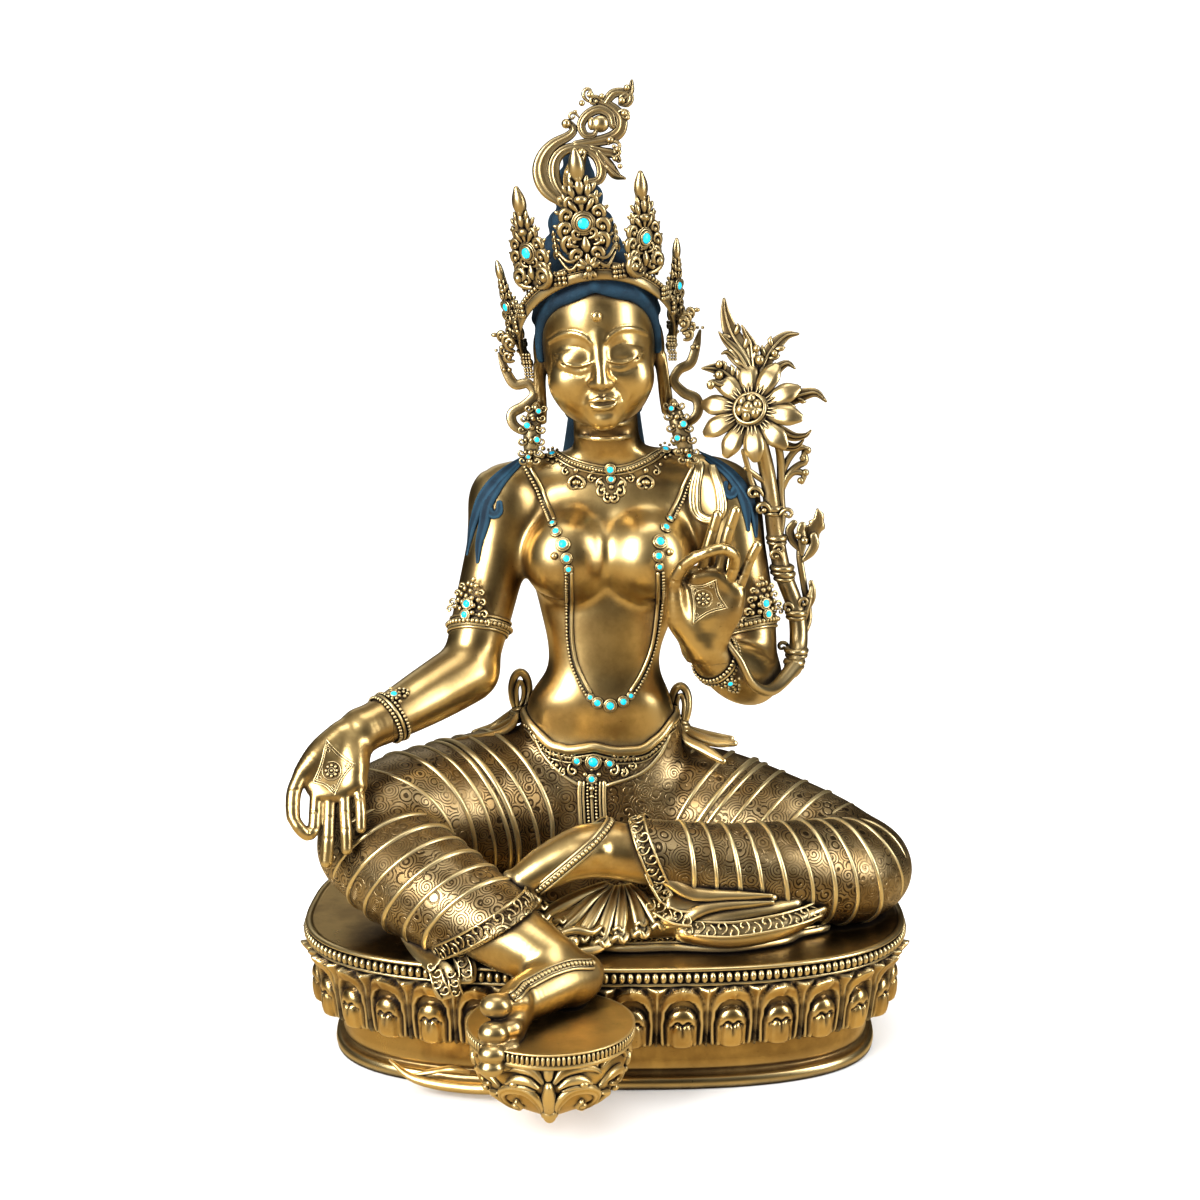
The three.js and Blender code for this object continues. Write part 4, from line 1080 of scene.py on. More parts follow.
def face_clay():
    clay = Clay(HEAD.place - (54, 56, 66), HEAD.place + (54, 60, 62), 0.78)
    add = lambda centre, sizes, blend=3.0, carve=False: clay.ball(centre, sizes, HEAD, blend, carve)

    def drawn(rows, lift=0.0, blend=1.0, carve=False):
        """A line laid on the face, or cut into it: x, height and radius, brought to the skin."""
        rows = np.array(rows, float)
        starts = HEAD.point(np.column_stack([rows[:, 0], np.full(len(rows), -54.0), rows[:, 1]]))
        depth = HEAD.local(*strike(clay, starts, HEAD.direction((0, 1, 0)), 70).T)[1]
        rows = np.column_stack([rows[:, 0], depth - lift, rows[:, 1:]])
        clay.limb(rows, HEAD, blend=blend, step=1.8, carve=carve)

    add((0, 3, 20), (35.5, 39.5, 38), 1)
    add((0, -3, -6), (33.5, 34.5, 36), 10)
    add((0, -10, -25), (27.5, 25.5, 20.5), 10)
    add((0, 4, -26), (20, 18, 22), 8)
    add((0, -30, -38.5), (8.5, 7, 6.5), 9)
    for s in (-1, 1):
        add((s * 19, -22.5, -15), (12, 11, 13), 10)
        # The eye: a soft socket and the ball under its lowered lid
        add((s * 14, -42.5, 5), (11, 5.0, 5.5), 6, True)
        add((s * 14.2, -28.4, -0.6), (11.8, 8.0, 8.0), 2.5)
        # The nostril's wing
        add((s * 5.2, -37.8, -15), (3.3, 4.0, 3.1), 2.4)
    nose = [[0, -33.2, 13, 3.4], [0, -35.0, 5, 3.9], [0, -37.2, -4, 4.0], [0, -39.8, -10.5, 4.4],
            [0, -41.2, -14.2, 4.5]]
    clay.limb(nose, HEAD, blend=4.0, step=2.5)
    add((0, -33.4, -26.4), (9.5, 4.2, 6.4), 6)
    drawn([(-8.8, -26.0, 0.7), (-5, -25.0, 1.4), (-1.9, -24.2, 1.7), (0, -24.8, 1.5), (1.9, -24.2, 1.7),
           (5, -25.0, 1.4),
           (8.8, -26.0, 0.7)], 0.5, 1.0)
    drawn([(-7.4, -28.0, 0.8), (-3.8, -29.3, 1.7), (0, -29.8, 2.0), (3.8, -29.3, 1.7), (7.4, -28.0, 0.8)],
          0.5, 1.0)
    drawn([(-10, -25.8, 0.35), (-6, -26.8, 0.6), (-2, -27.0, 0.65), (0, -27.5, 0.7), (2, -27.0, 0.65),
           (6, -26.8, 0.6),
           (10, -25.8, 0.35)], 0.1, 0.4, True)
    drawn([(0, -20.0, 0.7), (0, -22.6, 0.9)], 0.5, 1.6, True)
    drawn([(-4, -33.2, 0.9), (0, -33.8, 1.1), (4, -33.2, 0.9)], 0.5, 3, True)
    for s in (-1, 1):
        add((s * 2.4, -42.6, -18.0), (1.2, 1.8, 0.9), 0.8, True)
        drawn([(s * 8.8, -18, 0.3), (s * 11.4, -21.5, 0.4), (s * 12.4, -25, 0.3)], 0.6, 5, True)
        drawn([(s * 4.2, -1.4, 0.4), (s * 9, -3.2, 0.8), (s * 14.5, -3.6, 0.95), (s * 20.5, -1.6, 0.8),
               (s * 26.5, 2.2, 0.4)], 0.35, 1.0)
        drawn([(s * 4.2, -2.4, 0.45), (s * 9, -4.9, 0.75), (s * 14.5, -5.4, 0.85), (s * 20.5, -3.3, 0.75),
               (s * 26.5, 1.0, 0.4)],
              0.2, 0.4, True)
        drawn([(s * 5, 3.2, 0.35), (s * 9.5, 6.4, 0.6), (s * 15, 7.6, 0.65), (s * 21.5, 5.6, 0.55),
               (s * 27, 3.0, 0.35)], 0.25, 0.6, True)
        drawn([(s * 6, -7.6, 0.3), (s * 13, -9.6, 0.5), (s * 21, -7.6, 0.4)], 0.2, 1.4, True)
        # The brow: a low lip under an engraved arch
        drawn([(s * 4.5, 9.5, 0.5), (s * 8, 13.4, 0.9), (s * 15, 15.8, 1.0), (s * 23, 14.2, 0.9),
               (s * 30, 9.4, 0.4)], -0.1, 2.0)
        drawn([(s * 4.5, 11.4, 0.3), (s * 8.4, 15.6, 0.55), (s * 15, 17.8, 0.6), (s * 23, 16.2, 0.55),
               (s * 30.5, 10.8, 0.3)],
              0.1, 0.4, True)
        # The ear and its long flat lobe
        add((s * 36.5, 6, -1), (4.4, 7.2, 15), 2)
        lobe = [[s * 37.5, 3, -8, 4.2, 2.4], [s * 38.6, 2, -20, 4.0, 2.2], [s * 39.4, 1, -34, 4.3, 2.2],
                [s * 39.6, 1, -43, 3.6, 2.0]]
        clay.limb(lobe, HEAD, face=HEAD.direction((0, -1, 0)), blend=2, step=2.5)
        for x in (37.6, 40.4):
            drawn([(s * (x - 1.2), -10, 0.4), (s * x, -24, 0.55), (s * (x + 0.4), -40, 0.4)],
                  0.15, 0.4, True)
        drawn([(s * 36.4, -2, 0.5), (s * 38.6, 6, 0.7), (s * 39.8, 2, 0.6), (s * 39.6, -6, 0.5)],
              0.2, 0.5, True)
    add((0, -38.2, 25), (4.8, 1.6, 4.8), 0.3, True)
    add((0, -37.5, 25), (3.2, 2.2, 3.2), 0.2)
    return clay


def wrist(clay, forearm):
    """The forearm's end, a little proud of the body's."""
    clay.limb(along(forearm, np.linspace(0.84, 1, 4)), blend=3.0, extra=0.35)


def finger(clay, joints, radius):
    """An even, slender finger through its joints, with a fine crease across each inner joint."""
    last = len(joints) - 1
    rows = [[*joint, radius * (1 - 0.12 * i / last)] for i, joint in enumerate(joints)]
    clay.limb(rows, blend=0.7, step=2.0)
    _, across, out = frames_along(SEAT.point(joints), unit((0, -1, 0.1)))
    for i in range(1, last):
        middle = np.array(joints[i]) + out[i] * radius * 0.97
        side = across[i] * radius * 0.8
        back = out[i] * radius * 0.3
        clay.limb([[*(middle - side - back), 0.45], [*middle, 0.5], [*(middle + side - back), 0.45]],
                  blend=0.5, carve=True)


def hand_right_clay():
    clay = Clay((-200, -112, 125), (-128, -38, 222), 0.95)
    wrist(clay, FOREARM_RIGHT)
    face = unit(np.array([0.1, -0.85, 0.45]))
    palm = [[-148, -53, 124, 13, 11.5], [-154, -60, 118, 15, 10], [-159, -67, 110, 18, 8.5],
            [-161, -74, 101, 18, 7.2],
            [-159, -79, 92.5, 16.2, 5.8]]
    clay.limb(palm, face=face, blend=4)
    clay.limb([[-160, -62, 122, 7], [-170, -70, 113, 8.5], [-178, -76, 105, 6.5], [-181, -79, 101, 5]],
              blend=5)
    clay.limb([[-151, -64, 117, 6], [-149, -72, 107, 6.5], [-149, -77, 98, 5.5]], blend=5)
    clay.limb([[-173, -77, 93.5, 5], [-160, -80, 90.5, 5.2], [-147.5, -77, 95, 4.6]], blend=4)
    clay.ball((-162, -93, 106), (10, 9, 11), blend=6, carve=True)
    finger(clay, [[-180, -78, 104], [-184, -84, 94], [-184.5, -88, 86], [-184, -90, 80]], 4.7)
    finger(clay, [[-171.5, -80, 93], [-171.5, -86, 81], [-172, -90, 72.5], [-175.5, -92, 69.5],
                  [-180, -92.5, 73.5], [-183.5, -91, 78.5]], 4.1)
    finger(clay, [[-163.5, -80, 92], [-163.5, -86, 78], [-163.6, -90, 66.6], [-164.6, -92, 53]], 4.25)
    finger(clay, [[-155, -80, 93], [-154, -86, 81], [-153, -90, 72], [-152.6, -92, 60.5]], 3.9)
    finger(clay, [[-148, -77, 96], [-145.6, -83, 88], [-144.6, -87, 81], [-144.4, -89, 72.5]], 3.6)
    return clay


def hand_left_clay():
    clay = Clay((26, -94, 248), (104, -40, 350), 0.95)
    wrist(clay, FOREARM_LEFT)
    face = unit(np.array([-0.05, -1, 0.1]))
    palm = [[59, -53, 175, 12.8, 11], [58.5, -57, 184, 15, 9.5], [58.5, -60, 195, 18.5, 8],
            [61, -62, 206, 19.5, 6.8],
            [65.5, -62, 216, 17.5, 5.4]]
    clay.limb(palm, face=face, blend=4)
    clay.limb([[52, -60, 182, 7.5], [44.5, -63, 193, 8], [42.5, -66, 204, 6.5], [41.5, -68, 212, 4.8]],
              blend=5)
    clay.limb([[68, -59, 184, 7], [75, -62, 197, 6.5], [78, -63, 207, 5]], blend=5)
    clay.limb([[54, -63, 219.5, 4.6], [66, -64, 220, 4.8], [77, -63, 211, 4.4]], blend=4)
    clay.ball((58.5, -77, 205), (11, 9, 10), blend=6, carve=True)
    finger(clay, [[41.5, -67, 209], [41.5, -71, 219], [46, -75, 227], [53, -79, 233]], 4.1)
    finger(clay, [[57, -63, 221], [60.5, -65, 236], [63.6, -66, 247], [66, -67, 256]], 3.7)
    finger(clay, [[67.5, -63, 221], [71, -65, 239], [73.6, -66, 249], [76.6, -67, 258.5]], 3.8)
    finger(clay, [[73.5, -63, 215], [75.8, -70, 226], [75.2, -76, 233.5], [68.5, -80, 237.5],
                  [60.5, -81, 236], [54.5, -80, 233.5]], 3.6)
    finger(clay, [[78, -62, 208], [82.2, -64, 220.5], [85.4, -65, 229], [89.8, -66, 238]], 3.5)
    return clay


def toe(clay, root, push, radius):
    """A toe: a narrow neck and a fat round tip."""
    root, push = np.array(root, float), np.array(push, float)
    clay.limb([[*(root - push * 1.2), radius * 0.9], [*root, radius * 0.74]], blend=1.4, step=2.0)
    clay.ball(root + push * 0.75, radius * 1.04, blend=1.0)


def foot_right_clay():
    clay = Clay((-98, -216, 44), (0, -84, 132), 1.05)
    clay.limb([[-84, -100, 28, 22], [-62, -119, 21, 21.8], [-46, -130, 15, 18.9], [-30, -139, 8, 16.5]],
              blend=4)
    clay.limb([[-13, -139, 1, 12.5], [-24, -148, 1.5, 14.5], [-36, -160, 0, 14], [-46, -172, -1, 12.5],
               [-53, -182, -3, 10.5]], blend=6)
    clay.ball((-20, -141, -4), (14, 13, 13), blend=6)
    clay.ball((-33, -141, 14), (7, 6, 6.5), blend=5)
    clay.ball((-46, -182.5, 2.5), (6, 6, 6.5), blend=2)
    clay.limb([[-50, -182, -8, 9], [-53, -190, -16, 8], [-54, -195, -22, 6]], blend=4)
    for x, y, z, wide, tall in ((-59.2, -191.5, 3.2, 8.8, 6.8), (-60.1, -198, -9.4, 8.4, 6.6),
                                (-60.5, -203.5, -18.6, 7.8, 5.6),
                                (-61, -205, -25.8, 7.0, 4.8)):
        clay.limb([[x + 10, y + 6, z + 0.5, tall * 0.85], [x + 3, y + 2, z, tall * 0.85]], blend=1.5)
        clay.ball((x, y, z), (wide, wide * 0.8, tall), blend=0.8)
    return clay


def foot_left_clay():
    clay = Clay((-66, -124, 100), (60, -52, 168), 1.15)
    clay.limb([[56, -75, 47, 20], [30, -81, 53, 18], [8, -86, 57, 16.5], [-10, -90, 58, 14.5]], blend=4)
    clay.limb([[4, -86, 62, 12], [-14, -91, 59, 14.5], [-34, -96, 51, 13], [-48, -101, 44, 10]], blend=6)
    clay.ball((2, -84, 58), (13, 12, 13), blend=6)
    clay.ball((-4, -101, 62), (6, 5, 6), blend=4)
    toe(clay, (-51, -101, 48), (-6, -1, -3), 5.2)
    toe(clay, (-52, -104.5, 42), (-5, -1.4, -3), 4.2)
    toe(clay, (-51, -106.5, 37), (-4, -1.4, -4), 3.8)
    toe(clay, (-48, -107.5, 32.8), (-4, -1, -4), 3.5)
    toe(clay, (-44, -107.5, 29.6), (-3.4, -1, -3.6), 3.2)
    return clay


def waist_height(x):
    """The belt's line: its height over the seat across the figure."""
    return np.interp(x, [-60, -52, -44, -34, -22, -7, 7, 24, 36, 44, 54, 64],
                     [119, 118, 111.5, 102.5, 100, 102.5, 99.5, 100, 108, 116, 119, 119])


def hem_cut(clay, low, high, place, out):
    """Ends a leg's wrap in a level face: takes away what lies beyond a plane inside a box."""
    place, out = SEAT.point(place), unit(np.asarray(out, float))
    beyond = lambda x, y, z: -((x - place[0]) * out[0] + (y - place[1]) * out[1] + (z - place[2]) * out[2])
    clay.press(SEAT.point(low), SEAT.point(high), beyond, 0.6, True)


RIGHT_HEM = ((-63.2, -122, 20.7), (0.54, -0.13, -0.84))
LEFT_HEM = ((19, -90, 62), (-0.92, -0.05, -0.38))
SHIN_LEFT_WRAPPED = SHIN_LEFT + [[22, -82.5, 54.5, 20.3], [6, -86, 57, 18.6]]
SHIN_RIGHT_WRAPPED = SHIN_RIGHT + [[-46, -130.5, 14.5, 22]]


CLOTH_GRAIN = 1.95


def cloth_clay():
    clay = Clay((-196, -166, 80), (196, 94, 206), CLOTH_GRAIN)
    clay.levels([[-4, 0, 34, 66, 47], [40, 0, 34, 68, 46], [70, -1, 31, 63, 41.5], [86, -2, 28, 57.8, 37],
                 [99, -2.5, 25.5, 54.2, 34], [122, -2.8, 21, 50, 32]], blend=0.5)
    clay.press((-80, -40, 180), (80, 80, 206), lambda x, y, z: waist_height(x) + SEAT.place[2] - z + 0 * y,
               1.0, True)
    for stations in (THIGH_RIGHT, SHIN_RIGHT_WRAPPED, THIGH_LEFT):
        clay.limb(stations, blend=7, extra=1.2)
    hem_cut(clay, (-112, -176, -30), (-8, -98, 60), *RIGHT_HEM)
    left = Clay(clay.low, np.array([axis[-1] for axis in clay.axes]) - 0.01, CLOTH_GRAIN)
    left.limb(SHIN_LEFT_WRAPPED, blend=7, extra=1.2)
    hem_cut(left, (-40, -140, 10), (50, -40, 110), *LEFT_HEM)
    share = np.clip(0.5 + 0.5 * (clay.field - left.field) / 7.0, 0, 1)
    clay.field = clay.field * (1 - share) + left.field * share - 7.0 * share * (1 - share)
    clay.levels([[-4, 36, -52, 88, 40], [3, 36, -52, 86, 38], [6, 38, -46, 70, 28]], squareness=2.0, blend=3)
    clay.above(81.2)
    return clay


def hair_clay():
    clay = Clay(HEAD.place - (56, 62, 62), HEAD.place + (54, 66, 128), 1.45)
    clay.ball((0, 11, 22), (38.5, 36, 42), HEAD, 0.5)
    clay.levels([[-46, 0, 24, 24, 13], [-16, 0, 18, 34, 25], [14, 0, 14, 37.5, 30], [40, 0, 10, 35, 33],
                 [60, 0, 8, 22, 24]], place=HEAD, blend=4)
    for s in (-1, 1):
        edge = [[0, -32.5, 42.5, 3.6], [s * 8, -31.5, 40, 4.4], [s * 15, -29.5, 37.5, 4.6],
                [s * 23, -25.5, 34.5, 4.4], [s * 29.5, -18, 28, 4.4],
                [s * 33.5, -10.5, 19, 4.0], [s * 35.4, -4, 8, 3.6], [s * 36, 0, -3, 3.0]]
        clay.limb(edge, HEAD, blend=2.0, step=3)
        clay.limb([[0, -27, 48, 6], [s * 16, -24, 44, 6.5], [s * 28, -14, 36, 6.5], [s * 35, -3, 22, 5]],
                  HEAD, blend=3)
        for k in range(3):
            x = s * (8 + 8 * k)
            clay.limb([[x, -32 + 2.2 * k, 43 - 2 * k, 1.6], [x + s * 4, -31 + 3 * k, 39.5 - 3 * k, 1.8],
                       [x + s * 7, -29 + 4 * k, 36 - 3.5 * k, 1.2]], HEAD, blend=1.5)
    return clay


BODY = body_clay()
CLOTH = cloth_clay()
FACE = face_clay()
HAIR = hair_clay()
HAND_RIGHT = hand_right_clay()
HAND_LEFT = hand_left_clay()
FOOT_RIGHT = foot_right_clay()
FOOT_LEFT = foot_left_clay()


def figure():
    for name, clays, covers, finish in (
        ("figure_body", [BODY], deep_in(CLOTH, FACE), skin_gilding),
        ("figure_head", [FACE], deep_in(HAIR, BODY), skin_gilding),
        ("figure_hands", [HAND_RIGHT, HAND_LEFT], deep_in(BODY), skin_gilding),
        ("figure_feet", [FOOT_RIGHT, FOOT_LEFT], deep_in(CLOTH), skin_gilding),
    ):
        cast = Cast()
        for clay in clays:
            clay.skin(cast, hidden=covers)
        piece(name, cast, finish, ("figure",))
    cloth = Cast()
    inside_body = deep_in(BODY)
    CLOTH.skin(cloth, hidden=lambda points: inside_body(points) | (points[:, 2] < BASE_HEIGHT - 0.3))
    piece("figure_wrap", cloth, cloth_gilding)


figure()


# Laying ornament on the forms


def laid(clay, places, lift=0.0, step=2.5):
    """A faced route on the front of the clay through places given as x and height over the seat."""
    rows = np.asarray(places, float)
    flat = np.column_stack([rows[:, 0], 0 * rows[:, 0], rows[:, 1]])
    flat = course(flat, step) if step else flat
    starts = SEAT.point(flat + (0, clay.low[1] + 2, 0))
    points = strike(clay, starts, (0, 1, 0), clay.axes[1][-1] - clay.low[1] - 4)
    outs = clay.normal(points, 2.0)
    return np.column_stack([points + outs * lift, outs])


def set_on(clay, x, z, lift=0.0, up=UPWARD):
    """A frame standing on the front of the clay."""
    row = laid(clay, [(x, z)], lift, None)[0]
    return Frame(row[:3], row[3:], up)


def turned_to(out, points):
    """A faced route through points that all face one way."""
    return np.column_stack([points, np.tile(unit(out), (len(points), 1))])


def shifted(route, side, lift=0.0, closed=False):
    """A faced route moved sideways and outwards."""
    rows = np.asarray(route, float)
    _, across, out = frames_along(rows[:, :3], rows[:, 3:], closed)
    return np.column_stack([rows[:, :3] + across * side + out * lift, rows[:, 3:]])


def ring_on(stations, share, slant=0.0, turn=0.0, lift=0.0):
    """A faced ring round a limb at a share of its length; slant leans it, highest where turn points."""
    step = 2.0
    rows = course(SEAT.stations(stations), step)
    _, across, out = frames_along(rows[:, :3], UPWARD)
    angle = full_turn(40)
    spot = share * step * (len(rows) - 1) + slant * np.cos(angle - math.radians(turn))
    spot = np.clip(spot / step, 0, len(rows) - 1.001)
    low = spot.astype(int)
    t = (spot - low)[:, None]
    mix = lambda values: values[low] * (1 - t) + values[low + 1] * t
    faces = unit(mix(out) * np.cos(angle)[:, None] + mix(across) * np.sin(angle)[:, None])
    radius = mix(rows[:, 3:4]) + lift
    return np.column_stack([mix(rows[:, :3]) + faces * radius, faces])


def band_round(clay, centre, side, back=(0, 1, 0), reach=34.0, lift=0.0):
    """A faced ring round the clay in the plane of two directions through a centre."""
    centre = SEAT.point(centre)
    side = unit(np.asarray(side, float))
    back = np.asarray(back, float)
    back = unit(back - side * (back @ side))
    angle = full_turn(48)
    outs = side * np.cos(angle)[:, None] + back * np.sin(angle)[:, None]
    points = strike(clay, centre + outs * reach, -outs, reach)
    return np.column_stack([points + outs * lift, outs])


def to_side(side, heading):
    """A heading on the figure's left side, or its mirror image on the right."""
    return heading if side > 0 else 180 - heading


def facing_frame(ring, out, lift, up):
    """A frame over the place of a faced ring that looks most towards out."""
    face = unit(np.array(out))
    row = ring[np.argmax(ring[:, 3:] @ face)]
    return Frame(row[:3] + face * lift, face, up)


def curl(cast, frame, start, heading, size, hand=1, width=0.34, lift=0.0, ball=0.42, winding=1.0):
    """A small scroll ending in a ball; hand 1 turns it to the left."""
    flat = scroll(start, heading, 4.6 * size, hand * 16 / size, hand * 125 * winding / size, 14)
    thick = np.array([0.6, 1.0, 1.0, 0.85, 0.7]) * width * size
    rise = lift + 0.12 * size * np.linspace(0, 1, len(flat))
    sweep(cast, frame.at(flat[:, 0], flat[:, 1], rise), thick, thick * 1.1, face=frame.out, sides=6,
          step=max(0.7, size * 0.4))
    cast.balls(frame.at(flat[-1, 0], flat[-1, 1], lift + 0.3 * size), ball * size)


def drop(cast, frame, start, heading, length, half, lift=0.0):
    """A leaflet: narrow root, full middle and round tip."""
    turn = math.radians(heading)
    reach = np.array([0, 0.35, 0.7, 1.0]) * length
    route = frame.at(start[0] + reach * math.cos(turn), start[1] + reach * math.sin(turn), lift)
    sweep(cast, route, np.array([0.35, 0.8, 1.0, 0.55]) * half, np.array([0.4, 0.8, 1.0, 0.5]) * half * 0.8,
          face=frame.out, sides=7, step=length / 5)


def rosette(cast, frame, radius, stone=0.0):
    """A small flower of eight petals with a boss or a stone."""
    for angle in full_turn(8):
        cast.balls(frame.at(0.72 * radius * math.cos(angle), 0.72 * radius * math.sin(angle), 0.1 * radius),
                   0.27 * radius, detail=1)
    if stone:
        set_stone(cast, frame.moved(0, 0, 0.15 * radius), stone, rims=1)
    else:
        hoop(cast, frame, 0.42 * radius, 0.13 * radius)
        cast.balls(frame.at(0, 0, 0.15 * radius), 0.26 * radius)


def strung(cast, route, hand):
    """A plain strand inside and a strand of beads outside, on a faced route."""
    sweep(cast, shifted(route, -hand * 1.6, 0.5), 1.15, 1.2, step=1.6)
    sweep(cast, shifted(route, 0, -0.4), 2.0, 0.8, step=2.5)
    bead_row(cast, shifted(route, hand * 1.6, 0.8)[:, :3], 1.25, 1.8, detail=1)


def scrolled_border(cast, route, half, closed=False, pitch=None, rim=0.7):
    """An edging between two rims, filled with a row of small scrolls."""
    lift = 0.35
    rows = np.asarray(route, float)
    for side in (-1, 1):
        sweep(cast, shifted(rows, side * half, lift, closed), rim, rim, sides=6, step=1.6, closed=closed,
              round_ends=False)
    pitch = pitch or half * 1.55
    middle = course(rows, pitch, closed)
    if closed:
        middle = middle[:-1]
    forward, _, out = frames_along(middle[:, :3], middle[:, 3:], closed)
    for i, row in enumerate(middle):
        frame = Frame(row[:3] + out[i] * lift * 0.4, out[i], forward[i])
        side = 1 if i % 2 else -1
        flat = scroll((side * half * 0.6, -pitch * 0.5), 90 + side * 30, half * 3.4, side * 30 / half,
                      side * 150 / half, 9)
        sweep(cast, frame.at(flat[:, 0], flat[:, 1], 0.35), [0.45, 0.6, 0.6, 0.7], face=out[i], sides=6,
              step=half * 0.32)
        cast.balls(frame.at(flat[-1, 0], flat[-1, 1], 0.6), 0.9)


# Cloth: rolled ridges, hems, the belt and its bows


def skirt():
    cast = Cast()

    def ridge(stations, share, slant, turn, radius):
        sweep(cast, ring_on(stations, share, slant, turn, 1.1), radius, sides=6, step=3.4, closed=True)

    def stripes(stations, shares, slants, turn, widths):
        for i, share in enumerate(shares):
            slant = np.interp(share, [0, 1], slants)
            ridge(stations, share, slant, turn, widths[i % len(widths)])

    stripes(THIGH_RIGHT, [0.16, 0.27, 0.37, 0.58, 0.68, 0.78], (26, 14), 0, (1.4, 1.8, 1.5))
    for offset, radius in ((-0.012, 2.4), (0.026, 1.7)):
        ridge(THIGH_RIGHT, 0.48 + offset, 18, 0, radius)
    stripes(THIGH_LEFT, [0.14, 0.25, 0.46, 0.56, 0.66, 0.76, 0.86], (24, 12), 0, (1.4, 1.7, 1.5))
    for offset, radius in ((-0.012, 2.4), (0.026, 1.7)):
        ridge(THIGH_LEFT, 0.35 + offset, 20, 0, radius)
    stripes(SHIN_RIGHT, [0.08, 0.2, 0.32, 0.44, 0.56, 0.68, 0.8], (12, 14), 10, (1.8, 1.5))
    stripes(SHIN_LEFT_WRAPPED, [0.02, 0.09, 0.165, 0.24, 0.315, 0.39, 0.465, 0.54, 0.615, 0.69, 0.765],
            (10, 5), 0, (1.7, 1.4))
    for rows in (
        [(-45, 108), (-39, 96), (-28, 85), (-17, 78)], [(41, 108), (35, 96), (22.9, 85), (1.5, 78)],
    ):
        sweep(cast, laid(CLOTH, rows, 0.5), 1.3, 1.2, step=2.5)
    piece("cloth_ridges", cast, hem_gilding)
    cuffs = Cast()
    for place, out, back, inset in ((*RIGHT_HEM, (0, 1, -0.15), 5.5), (*LEFT_HEM, (0, 1, 0.1), 5.5)):
        out = unit(np.array(out))
        side = unit(np.cross(out, np.array(back)))
        centre = np.array(place) + (0, 12 if place[0] < 0 else 6, 0) - out * inset
        scrolled_border(cuffs, band_round(CLOTH, centre, side, back, 40, 0.4), 4.4, closed=True, rim=0.8)
    scrolled_border(cuffs, ring_on(THIGH_RIGHT, 0.87, 14, 0, 1.2)[4:22], 4.4, rim=0.8)
    scrolled_border(cuffs, ring_on(THIGH_LEFT, 0.94, 12, 0, 1.2)[24:38], 3.8, rim=0.8)
    piece("cloth_borders", cuffs, chased_gilding)


